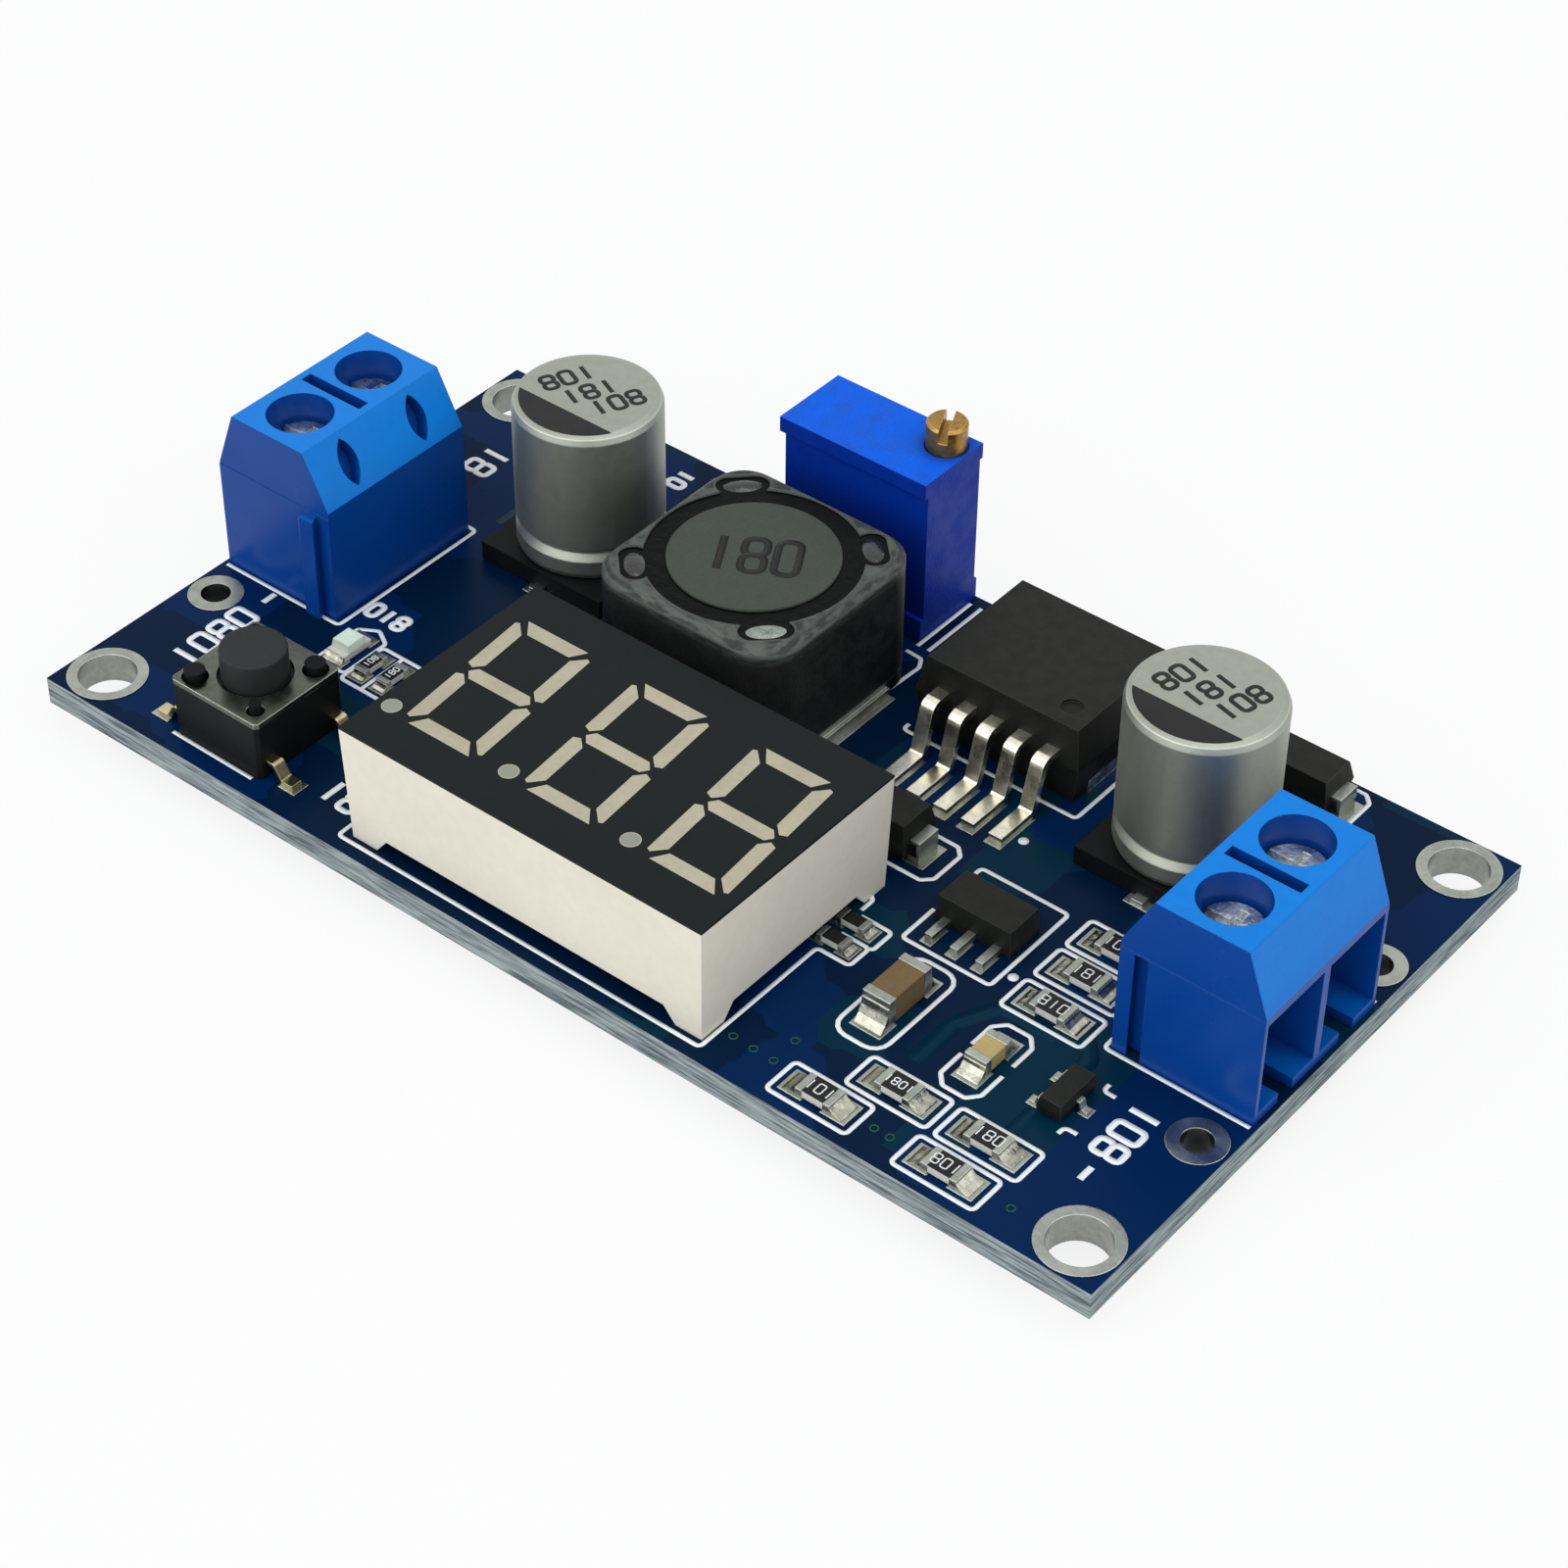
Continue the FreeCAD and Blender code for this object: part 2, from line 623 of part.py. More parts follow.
def terminal_housing():
    half = terminal_width() / 2
    outline = [(0, 0), (TERMINAL_D, 0), (TERMINAL_D, TERMINAL_H - OUTER_SLOPE_DROP),
               (TERMINAL_D - OUTER_SLOPE_RUN, TERMINAL_H), (INNER_SLOPE_RUN, TERMINAL_H),
               (0, TERMINAL_H - INNER_SLOPE_DROP)]
    body = prism_y(outline, -half, half)
    for side in (-1, 1):
        low, high = sorted((side * (half - SIDE_STEP), side * (half + 1)))
        body = body.cut(box(-1, TERMINAL_D + 1, low, high, SIDE_STEP_Z, TERMINAL_H + 1))
    body = body.fuse(dovetail(half, 1, 0))
    cuts = [dovetail(-half, 1, RIB_GAP)]
    cuts.append(block(screw_u(), 0, TOP_SLOT_L, TOP_SLOT_W, TERMINAL_H - TOP_SLOT_DEPTH, TERMINAL_H + 1))
    for side in (-1, 1):
        v = side * WAY_PITCH / 2
        wall = CHAMBER_W / 2
        cuts.append(box(REAR_WALL, TERMINAL_D + 1, v - wall, v + wall, CHAMBER_FLOOR, CHAMBER_CEILING))
        cuts.append(box(REAR_WALL, TERMINAL_D + 1, v - FLOOR_SLOT_W / 2, v + FLOOR_SLOT_W / 2,
                        -1, CHAMBER_FLOOR))
        cuts.append(cylinder(SCREW_WELL_R, screw_u(), v, SCREW_LEDGE_Z, TERMINAL_H + 1))
        cuts.append(cylinder(SCREW_SHANK_R + SHANK_HOLE_GAP, screw_u(), v,
                             CHAMBER_CEILING - 1, SCREW_LEDGE_Z + 1))
        cuts.append(probe_slit(v))
    for cut in cuts:
        body = body.cut(cut)
    return body.removeSplitter()


def cage_top():
    """The height of the clamp cage when it is fully open."""
    return CHAMBER_FLOOR + CAGE_LIFT + CAGE_H


def tongue_top():
    return cage_top() - CAGE_TOP - TONGUE_GAP


def terminal_screw():
    """One clamp screw, with its head on the ledge and its end inside the cage."""
    head_top = SCREW_LEDGE_Z + SCREW_HEAD_H
    head = cylinder(SCREW_HEAD_R, 0, 0, SCREW_LEDGE_Z, head_top)
    head = head.makeChamfer(SCREW_SLOT_W / 4, top_edges(head, head_top))
    slot_floor = head_top - SCREW_SLOT_DEPTH
    head = head.cut(block(0, 0, REACH, SCREW_SLOT_W, slot_floor, head_top + 1))
    head = head.cut(block(0, 0, SCREW_SLOT_W, SCREW_CROSS_L, slot_floor, head_top + 1))
    screw_end = cage_top() - CAGE_TOP - TONGUE_GAP / 5
    return head.fuse(cylinder(SCREW_SHANK_R, 0, 0, screw_end, SCREW_LEDGE_Z)).removeSplitter()


def clamp_cage():
    """One clamp cage at the bottom of its travel: a square tube, open along u."""
    width = CHAMBER_W - 2 * CAGE_SIDE_GAP
    floor = CHAMBER_FLOOR + CAGE_LIFT
    cage = block(0, 0, CAGE_L, width, floor, cage_top())
    lengthwise = [e for e in cage.Edges if abs(e.BoundBox.XLength - CAGE_L) < CLOSE]
    cage = cage.makeFillet(CAGE_WALL / 2, lengthwise)
    window = block(0, 0, REACH, width - 2 * CAGE_WALL, floor + CAGE_WALL, cage_top() - CAGE_TOP)
    hole = cylinder(SCREW_SHANK_R + THREAD_GAP, 0, 0, floor + CAGE_WALL, cage_top() + 1)
    return cage.cut(window).cut(hole)


def terminal_pin():
    """A pin with a flat tongue that reaches through the cage."""
    tongue_end = screw_u() + CAGE_L / 2
    leg = box(REAR_WALL, REAR_WALL + TERMINAL_PIN_T, -TERMINAL_PIN_W / 2, TERMINAL_PIN_W / 2,
              -BOARD_T - PIN_TAIL, tongue_top())
    tongue = box(REAR_WALL, tongue_end, -TONGUE_W / 2, TONGUE_W / 2, tongue_top() - TONGUE_T, tongue_top())
    return leg.fuse(tongue).removeSplitter()


def in_terminal(shape, end, u=0.0, v=0.0):
    """A shape from the terminal's frame, put in the input or the output terminal."""
    moved = placed(shape, u, v)
    if end == "input":
        return placed(moved, INPUT_REAR_X, TERMINAL_Y, TOP)
    return placed(moved, OUTPUT_REAR_X, TERMINAL_Y, TOP, 180)


def terminal_way(shape, end, side):
    """A screw or cage in one way: side is -1 for the near way, +1 for the far way."""
    local = side if end == "input" else -side
    return in_terminal(shape, end, screw_u(), local * WAY_PITCH / 2)


# Display

def digit_segments():
    """The seven segments of one digit, as outlines about the digit's middle."""
    w, h, t, g = DIGIT_W / 2, DIGIT_H / 2, SEGMENT_W, SEGMENT_SPACE
    tip, bar_in, bar_tip, middle_in = t / 2, w - g * 2, t * BAR_MITRE, w - t * MIDDLE_TIP
    low, high, inner = (share * g for share in POST_END_SPACES)
    top = [(-bar_in, h), (bar_in, h), (bar_in - bar_tip, h - t), (bar_tip - bar_in, h - t)]
    middle = [(-w + tip, 0), (-middle_in, tip), (middle_in, tip), (w - tip, 0),
              (middle_in, -tip), (-middle_in, -tip)]
    upper = [(-w, h - g * 2), (-w, tip + low), (-w + t * POST_TIP[0], t * POST_TIP[1]),
             (-w + t, tip + high), (-w + t, h - t - inner), (-w + tip / 2, h - high)]
    bottom = [(x, -y) for x, y in reversed(top)]
    lower = [(x, -y) for x, y in reversed(upper)]
    shapes = [top, middle, bottom, upper, lower]
    shapes += [[(-x, y) for x, y in reversed(outline)] for outline in (upper, lower)]
    return [[(x - DIGIT_LEAN * y, y) for x, y in outline] for outline in shapes]


def digit_centres():
    return [DISPLAY_X + DIGIT_SHIFT + step * DIGIT_PITCH for step in (-1, 0, 1)]


def lit_shapes(z0, z1, spread):
    """Every segment and point as a solid, each side moved out by spread."""
    solids = []
    for centre in digit_centres():
        for outline in digit_segments():
            middle_x = sum(x for x, y in outline) / len(outline)
            middle_y = sum(y for x, y in outline) / len(outline)
            reach = max(math.hypot(x - middle_x, y - middle_y) for x, y in outline)
            grow = 1 + spread / reach
            points = [(centre + middle_x + (x - middle_x) * grow,
                       DISPLAY_Y + middle_y + (y - middle_y) * grow) for x, y in outline]
            solids.append(prism_z(points, z0, z1))
        point_y = DISPLAY_Y - DIGIT_H / 2 + SEGMENT_W / 2
        solids.append(cylinder(POINT_R + spread, centre - POINT_OFFSET, point_y, z0, z1))
    return solids


def display_top():
    return TOP + DISPLAY_H


def display_shell():
    """The white housing: an open tray below, and windows for the segments above."""
    top = display_top() - FACE_T
    wires = []
    for z, inset in ((TOP, DISPLAY_DRAFT), (top, 0.0)):
        x, y = DISPLAY_L / 2 - inset, DISPLAY_W / 2 - inset
        corners = [FreeCAD.Vector(DISPLAY_X + sx * x, DISPLAY_Y + sy * y, z)
                   for sx, sy in ((-1, -1), (1, -1), (1, 1), (-1, 1))]
        wires.append(Part.makePolygon(corners + [corners[0]]))
    shell = Part.makeLoft(wires, True, True)
    cavity = block(DISPLAY_X, DISPLAY_Y, DISPLAY_L - 2 * DISPLAY_WALL, DISPLAY_W - 2 * DISPLAY_WALL,
                   TOP - 1, TOP + DISPLAY_CAVITY_H)
    shell = shell.cut(cavity)
    for length, along_x in ((DISPLAY_L, True), (DISPLAY_W, False)):
        low, high = length / 2 - DISPLAY_FOOT - DISPLAY_DRAFT, length / 2 - DISPLAY_FOOT - DISPLAY_FOOT_SLOPE
        arch = [(-low, 0), (-high, DISPLAY_GAP), (high, DISPLAY_GAP), (low, 0), (low, -1), (-low, -1)]
        cut = prism_y(arch, -REACH, REACH)
        shell = shell.cut(placed(cut, DISPLAY_X, DISPLAY_Y, TOP, 0 if along_x else 90))
    windows = lit_shapes(top - SEGMENT_DEPTH, top + 1, SEGMENT_GAP)
    return [shell.cut(Part.makeCompound(windows))]


def display_face():
    face = block(DISPLAY_X, DISPLAY_Y, DISPLAY_L, DISPLAY_W, display_top() - FACE_T, display_top())
    return [face.cut(Part.makeCompound(lit_shapes(TOP, display_top() + 1, SEGMENT_GAP)))]


def display_segments():
    return lit_shapes(display_top() - FACE_T - SEGMENT_DEPTH, display_top(), 0.0)


def display_base_board():
    top = TOP + DISPLAY_CAVITY_H
    board = block(DISPLAY_X, DISPLAY_Y, DISPLAY_L - 2 * DISPLAY_WALL, DISPLAY_W - 2 * DISPLAY_WALL,
                  top - DISPLAY_BOARD_T, top)
    pins = [block(x, y, DISPLAY_PIN_W, DISPLAY_PIN_W, TOP, top + 1) for x, y in display_pin_points()]
    return [board.cut(Part.makeCompound(pins))]


def display_pins():
    return [block(x, y, DISPLAY_PIN_W, DISPLAY_PIN_W, -PIN_TAIL, TOP + DISPLAY_CAVITY_H)
            for x, y in display_pin_points()]


# Smoothing capacitors

def capacitor_can():
    """An aluminium can with a rolled rim and a bead where it grips the seal."""
    rim_in = CAN_RIM_R * (1 - math.sqrt(0.5))
    foot_in = CAN_FOOT_R * (1 - math.sqrt(0.5))
    outline = [(0, 0), (CAN_R - CAN_FOOT_R, 0), (CAN_R - foot_in, foot_in), (CAN_R, CAN_FOOT_R),
               (CAN_R, CAN_BEAD_Z - CAN_BEAD_R), (CAN_R - CAN_BEAD_DEPTH, CAN_BEAD_Z),
               (CAN_R, CAN_BEAD_Z + CAN_BEAD_R), (CAN_R, CAN_H - CAN_RIM_R),
               (CAN_R - rim_in, CAN_H - rim_in), (CAN_R - CAN_RIM_R, CAN_H), (0, CAN_H)]
    return revolve(outline)


def capacitor_base():
    """The moulded foot: two corners are cut off on the positive side."""
    half, cut = CAP_BASE_W / 2, CAP_BASE_CHAMFER
    outline = [(-half, -half), (half, -half), (half, half - cut), (half - cut, half),
               (cut - half, half), (-half, half - cut)]
    base = prism_z(outline, 0, CAP_BASE_H)
    groove_w = CAP_LEAD_W + 2 * PAD_SIDE
    near, far = CAP_LEAD_FROM - CAP_LEAD_T / 2, CAP_LEAD_FROM + CAP_LEAD_T / 2
    for side in (-1, 1):
        for end, height in ((REACH, CAP_LEAD_T), (far, CAP_BASE_H + 1)):
            low, high = sorted((side * near, side * end))
            base = base.cut(box(-groove_w / 2, groove_w / 2, low, high, -1, height))
    return base


def capacitor_lead():
    """A flat lead that comes down through the foot and turns outwards along +X."""
    mid = CAP_LEAD_T / 2
    path = [(CAP_LEAD_FROM, CAP_BASE_H), (CAP_LEAD_FROM, mid), (CAP_BASE_W / 2 + CAP_LEAD_OUT, mid)]
    return prism_y(strip(path, CAP_LEAD_T), -CAP_LEAD_W / 2, CAP_LEAD_W / 2)


def capacitor_leads():
    return [placed(capacitor_lead(), x, y, SMD_TOP, turn)
            for x, y in (INPUT_CAP, OUTPUT_CAP) for turn in (90, 270)]


# Power inductor, in its own frame: centred, standing on z = 0

def glue_pockets(z0, z1):
    """A long round ended pocket across each corner."""
    pocket = block(POCKET_OUT, 0, POCKET_W, POCKET_L, z0, z1)
    pocket = pocket.makeFillet(POCKET_W / 2 - PAD_T, upright_edges(pocket, z1 - z0))
    return [placed(pocket, 0, 0, 0, angle) for angle in CORNER_ANGLES]


def inductor_shield():
    """The square ferrite ring round the core, with a glue pocket in each corner."""
    shield = rounded_plate(INDUCTOR_W, INDUCTOR_CORNER_R, INDUCTOR_BASE_T, INDUCTOR_H)
    shield = shield.makeChamfer(INDUCTOR_RIM, top_edges(shield, INDUCTOR_H))
    shield = shield.cut(cylinder(SHIELD_BORE_R, 0, 0, 0, INDUCTOR_H + 1))
    return shield.cut(Part.makeCompound(glue_pockets(INDUCTOR_H - POCKET_DEPTH, INDUCTOR_H + 1)))


def inductor_core():
    """The ferrite drum that carries the winding."""
    lower = INDUCTOR_BASE_T
    outline = [(0, lower), (CORE_R, lower), (CORE_R, lower + CORE_FLANGE_T),
               (CORE_SPINDLE_R, lower + CORE_FLANGE_T), (CORE_SPINDLE_R, INDUCTOR_H - CORE_FLANGE_T),
               (CORE_R, INDUCTOR_H - CORE_FLANGE_T), (CORE_R, INDUCTOR_H), (0, INDUCTOR_H)]
    return revolve(outline)


def inductor_winding():
    low = INDUCTOR_BASE_T + CORE_FLANGE_T
    high = INDUCTOR_H - CORE_FLANGE_T
    outer = CORE_R - WINDING_GAP
    return revolve([(CORE_SPINDLE_R, low), (outer, low), (outer, high), (CORE_SPINDLE_R, high)])


def inductor_glue():
    """The black potting that centres the drum in its shield."""
    top = INDUCTOR_H - GLUE_TOP_GAP
    ring = cylinder(SHIELD_BORE_R, 0, 0, top - GLUE_T, top).cut(cylinder(CORE_R, 0, 0, 0, REACH))
    return ring.multiFuse(glue_pockets(INDUCTOR_H - POCKET_DEPTH, top)).removeSplitter()


def inductor_base():
    """The moulded foot, with a recess on either side for the terminal clips."""
    base = rounded_plate(INDUCTOR_W, INDUCTOR_CORNER_R, CLIP_T, INDUCTOR_BASE_T)
    half = INDUCTOR_W / 2
    for side in (-1, 1):
        low, high = sorted((side * (half - CLIP_T), side * (half + 1)))
        base = base.cut(box(low, high, -CLIP_W / 2, CLIP_W / 2, -1, INDUCTOR_H))
    return base


def inductor_terminal():
    """A clip up the +X side and under the foot."""
    half = INDUCTOR_W / 2
    upright = box(half - CLIP_T, half, -CLIP_W / 2, CLIP_W / 2, 0, INDUCTOR_BASE_T)
    under = box(half - CLIP_UNDER, half, -CLIP_W / 2, CLIP_W / 2, 0, CLIP_T)
    outside = box(half, half + CLIP_T, -CLIP_W / 2, CLIP_W / 2, 0, CLIP_H)
    return upright.fuse(under).fuse(outside).removeSplitter()


def at_inductor(shape, turn=0):
    return placed(shape, INDUCTOR_X, INDUCTOR_Y, SMD_TOP, turn)


# Trimmer

def trimmer_screw_at():
    x = TRIMMER_X + TRIMMER_L / 2 - TRIMMER_SCREW_FROM_END
    return x, TRIMMER_Y + TRIMMER_W / 2 - TRIMMER_SCREW_FROM_BACK


def trimmer_housing():
    """The case: full width at its cap and foot, and slightly waisted between them."""
    y, step = TRIMMER_Y, TRIMMER_CAP_STEP
    low = TOP + TRIMMER_STANDOFF
    top = TOP + TRIMMER_H
    case = block(TRIMMER_X, y, TRIMMER_L, TRIMMER_W, low, top)
    for side in (-1, 1):
        edge = TRIMMER_X + side * TRIMMER_L / 2
        x0, x1 = sorted((edge - side * step, edge + side))
        if side < 0:
            case = case.cut(box(x0, x1, 0, BOARD_W + REACH, low + TRIMMER_FOOT_H, top - TRIMMER_CAP_H))
        face = y + side * TRIMMER_W / 2
        y0, y1 = sorted((face - side * step, face + side))
        case = case.cut(box(0, BOARD_L, y0, y1, low + TRIMMER_FOOT_H, top - TRIMMER_CAP_H))
        x0, x1 = sorted((edge, edge - side * TRIMMER_STANDOFF_L))
        case = case.fuse(box(x0, x1, y - TRIMMER_W / 2, y + TRIMMER_W / 2, TOP, low))
    pins = [block(px, py, TRIMMER_PIN_W, TRIMMER_PIN_W, TOP - 1, low + TRIMMER_FOOT_H)
            for px, py in trimmer_pin_points()]
    case = case.cut(Part.makeCompound(pins))
    screw_x, screw_y = trimmer_screw_at()
    bore = cylinder(TRIMMER_SCREW_R + TRIMMER_SCREW_GAP, screw_x, screw_y,
                    top - TRIMMER_SCREW_DEPTH - TRIMMER_SCREW_GAP, top + 1)
    return [case.cut(bore).removeSplitter()]


def trimmer_screw():
    screw_x, screw_y = trimmer_screw_at()
    head_top = TOP + TRIMMER_H + TRIMMER_SCREW_OUT
    screw = cylinder(TRIMMER_SCREW_R, 0, 0, TOP + TRIMMER_H - TRIMMER_SCREW_DEPTH, head_top)
    screw = screw.makeChamfer(TRIMMER_SLOT_W / 4, top_edges(screw, head_top))
    screw = screw.cut(block(0, 0, REACH, TRIMMER_SLOT_W, head_top - TRIMMER_SLOT_DEPTH, head_top + 1))
    return [placed(screw, screw_x, screw_y, 0, TRIMMER_SLOT_ANGLE)]


def trimmer_pins():
    return [block(x, y, TRIMMER_PIN_W, TRIMMER_PIN_W, -PIN_TAIL, TOP + TRIMMER_STANDOFF + TRIMMER_FOOT_H)
            for x, y in trimmer_pin_points()]


# Switching regulator, in its own frame: centred, leads towards -Y, standing on z = 0

def regulator_tab():
    """The heat spreading tab and the middle lead, which are one piece of copper."""
    back = REGULATOR_D / 2 + TAB_OUT
    return box(-TAB_W / 2, TAB_W / 2, back - TAB_OUT - TAB_UNDER, back, 0, TAB_T)


def regulator_lead():
    lead = gull_lead(LEAD_EXIT_Z, LEAD_RUN, LEAD_KNEE, LEAD_REACH, LEAD_T, LEAD_W, LEAD_RUN, LEAD_BEND)
    return placed(lead, 0, -REGULATOR_D / 2, 0, -90)


def regulator_leadframe():
    pieces = [regulator_tab()]
    middle = (REGULATOR_LEADS - 1) // 2
    for index in range(REGULATOR_LEADS):
        lead = placed(regulator_lead(), (index - middle) * LEAD_PITCH)
        if index == middle:
            neck = box(-LEAD_W / 2, LEAD_W / 2, -REGULATOR_D / 2 + LEAD_RUN - LEAD_T,
                       -REGULATOR_D / 2 + LEAD_RUN, TAB_T / 2, LEAD_EXIT_Z + LEAD_T / 2)
            bridge = box(-LEAD_W / 2, LEAD_W / 2, -REGULATOR_D / 2 + LEAD_RUN - LEAD_T,
                         REGULATOR_D / 2 - TAB_UNDER + LEAD_T, TAB_T / 2, TAB_T)
            pieces[0] = pieces[0].multiFuse([neck, bridge, lead]).removeSplitter()
        else:
            pieces.append(lead)
    return pieces


def regulator_body():
    body = moulded_block(REGULATOR_W, REGULATOR_D, 0, REGULATOR_PARTING_Z, REGULATOR_H, REGULATOR_DRAFT)
    dimple = cylinder(REGULATOR_DIMPLE_R, REGULATOR_W / 2 - REGULATOR_DRAFT - REGULATOR_DIMPLE_INSET,
                      REGULATOR_DRAFT + REGULATOR_DIMPLE_INSET - REGULATOR_D / 2,
                      REGULATOR_H - REGULATOR_DIMPLE_DEPTH, REGULATOR_H + 1)
    return body.cut(dimple).cut(Part.makeCompound(regulator_leadframe()))


def at_regulator(shape):
    return placed(shape, REGULATOR_X, REGULATOR_Y, SMD_TOP)


# Push button, in its own frame: centred, standing on z = 0

def cover_top():
    return BUTTON_H


def button_pegs():
    """The pegs that hold the cover: two thick and two thin ones, as angle, radius and height."""
    return [(angle, *(BIG_PEG if index % 2 == 0 else SMALL_PEG))
            for index, angle in enumerate(CORNER_ANGLES)]


def peg_place(angle):
    x = BUTTON_CUT_FROM * math.cos(math.radians(angle))
    return x, BUTTON_CUT_FROM * math.sin(math.radians(angle))


def plunger_flange_top():
    return cover_top() - BUTTON_COVER_T - PLUNGER_PLAY


def dome_top():
    return plunger_flange_top() - PLUNGER_FLANGE_T - DOME_GAP


def button_base():
    top = cover_top() - BUTTON_COVER_T
    base = block(0, 0, BUTTON_W, BUTTON_W, 0, top)
    base = base.makeChamfer(BUTTON_CORNER, upright_edges(base, top))
    base = base.cut(cylinder(BUTTON_WELL_R, 0, 0, dome_top() - DOME_H, top + 1))
    pegs = [cylinder(radius, *peg_place(angle), dome_top(), cover_top() + height)
            for angle, radius, height in button_pegs()]
    base = base.multiFuse(pegs).cut(cylinder(BUTTON_WELL_R, 0, 0, dome_top() - DOME_H, top))
    return base.cut(Part.makeCompound(button_terminals())).removeSplitter()


def button_cover():
    """The pressed steel cover, with a hole for the plunger and one for each peg."""
    plate = block(0, 0, BUTTON_W, BUTTON_W, cover_top() - BUTTON_COVER_T, cover_top())
    plate = plate.makeChamfer(BUTTON_CORNER, upright_edges(plate, BUTTON_COVER_T))
    holes = [cylinder(PLUNGER_R + PLUNGER_HOLE_GAP, 0, 0, 0, REACH)]
    holes += [cylinder(radius + PEG_GAP, *peg_place(angle), 0, REACH)
              for angle, radius, height in button_pegs()]
    return plate.cut(Part.makeCompound(holes))


def button_plunger():
    flange_top = plunger_flange_top()
    stem = cylinder(PLUNGER_R, 0, 0, flange_top - PLUNGER_FLANGE_T, PLUNGER_TOP)
    stem = stem.makeFillet(PLUNGER_EDGE_R, top_edges(stem, PLUNGER_TOP))
    return stem.fuse(cylinder(PLUNGER_FLANGE_R, 0, 0, flange_top - PLUNGER_FLANGE_T, flange_top))


def button_dome():
    """The snap dome under the plunger: a thin spherical cap."""
    ball_r = (DOME_R ** 2 + DOME_H ** 2) / (2 * DOME_H)
    centre = FreeCAD.Vector(0, 0, dome_top() - ball_r)
    shell = Part.makeSphere(ball_r, centre).cut(Part.makeSphere(ball_r - DOME_T, centre))
    return shell.common(cylinder(DOME_R, 0, 0, dome_top() - DOME_H, dome_top() + 1))


def button_terminals():
    """Two solder leads on either side; each starts as a contact under the dome."""
    leads = []
    reach, foot = BUTTON_LEAD_REACH, BUTTON_LEAD_REACH * LEAD_FOOT_SHARE
    for turn in (0, 180):
        for side in (-1, 1):
            lead = gull_lead(BUTTON_LEAD_Z, BUTTON_LEAD_T * 2, reach - foot, reach, BUTTON_LEAD_T,
                             BUTTON_LEAD_W, BUTTON_W / 6, BUTTON_LEAD_BEND)
            lead = placed(lead, BUTTON_W / 2, side * BUTTON_LEAD_SPACING / 2)
            leads.append(placed(lead, 0, 0, 0, turn))
    return leads


def at_button(shape):
    return placed(shape, BUTTON_X, BUTTON_Y, SMD_TOP)


# Diodes

def diode_terminal():
    """A flat terminal out of the +X end, folded down and back under the body."""
    half, mid = DIODE_L / 2, DIODE_TERMINAL_T / 2
    out = half + DIODE_TERMINAL_REACH
    path = [(half - DIODE_TERMINAL_UNDER, DIODE_TERMINAL_Z), (out, DIODE_TERMINAL_Z), (out, mid),
            (half - DIODE_TERMINAL_UNDER, mid)]
    return prism_y(strip(path, DIODE_TERMINAL_T), -DIODE_TERMINAL_W / 2, DIODE_TERMINAL_W / 2)


def diode_body():
    body = moulded_block(DIODE_L, DIODE_W, DIODE_STAND, DIODE_TERMINAL_Z, DIODE_H, DIODE_DRAFT)
    for turn in (0, 180):
        body = body.cut(placed(diode_terminal(), 0, 0, 0, turn))
    return body


def diode_terminals():
    return [placed(diode_terminal(), x, y, SMD_TOP, turn)
            for x, y in (CATCH_DIODE, INPUT_DIODE) for turn in (0, 180)]


# Small moulded chips, each in its own frame, with pin one's side towards -Y

def supply_leads():
    """Three flat leads towards -Y and the wide tab towards +Y."""
    low = -SUPPLY_D / 2
    leads = []
    for step in (-1, 0, 1):
        leads.append(block(step * SUPPLY_PITCH, low - SUPPLY_LEAD_REACH / 2 + SUPPLY_D / 8,
                           SUPPLY_LEAD_W, SUPPLY_LEAD_REACH + SUPPLY_D / 4, 0, SUPPLY_LEAD_T))
    tab = box(-SUPPLY_TAB_W / 2, SUPPLY_TAB_W / 2, 0, SUPPLY_D / 2 + SUPPLY_TAB_REACH, 0, SUPPLY_LEAD_T)
    bridge = box(-SUPPLY_LEAD_W / 2, SUPPLY_LEAD_W / 2, low, 0, 0, SUPPLY_LEAD_T)
    leads[1] = leads[1].fuse(tab).fuse(bridge).removeSplitter()
    return leads


def supply_body():
    body = tapered_block(SUPPLY_W, SUPPLY_D, 0, SUPPLY_H, CHIP_DRAFT)
    return body.cut(Part.makeCompound(supply_leads()))


def transistor_leads():
    """Two leads towards -X and one towards +X."""
    mid = TRANSISTOR_H / 2
    knee = TRANSISTOR_REACH * LEAD_FOOT_SHARE
    lead = gull_lead(mid, knee / 2, knee, TRANSISTOR_REACH, TRANSISTOR_LEAD_T, TRANSISTOR_LEAD_W, knee)
    lead = placed(lead, TRANSISTOR_W / 2)
    pair = [placed(lead, 0, side * TRANSISTOR_PITCH / 2, 0, 180) for side in (-1, 1)]
    return [lead] + pair


def transistor_body():
    body = moulded_block(TRANSISTOR_W, TRANSISTOR_L, CHIP_STAND, TRANSISTOR_H / 2, TRANSISTOR_H, CHIP_DRAFT)
    return body.cut(Part.makeCompound(transistor_leads()))


def driver_leads():
    knee = DRIVER_REACH * LEAD_FOOT_SHARE
    lead = gull_lead(DRIVER_H / 2, knee / 2, knee, DRIVER_REACH, DRIVER_LEAD_T, DRIVER_LEAD_W, knee)
    leads = []
    for turn in (90, 270):
        for index in range(DRIVER_LEADS_A_SIDE):
            along = (index - (DRIVER_LEADS_A_SIDE - 1) / 2) * DRIVER_PITCH
            leads.append(placed(placed(lead, DRIVER_W / 2, along), 0, 0, 0, turn))
    return leads


def driver_body():
    body = moulded_block(DRIVER_L, DRIVER_W, CHIP_STAND, DRIVER_H / 2, DRIVER_H, CHIP_DRAFT)
    return body.cut(Part.makeCompound(driver_leads()))


def at_driver(shape):
    return placed(shape, DISPLAY_X, DISPLAY_Y, SMD_TOP)


# Chip resistors and ceramic capacitors

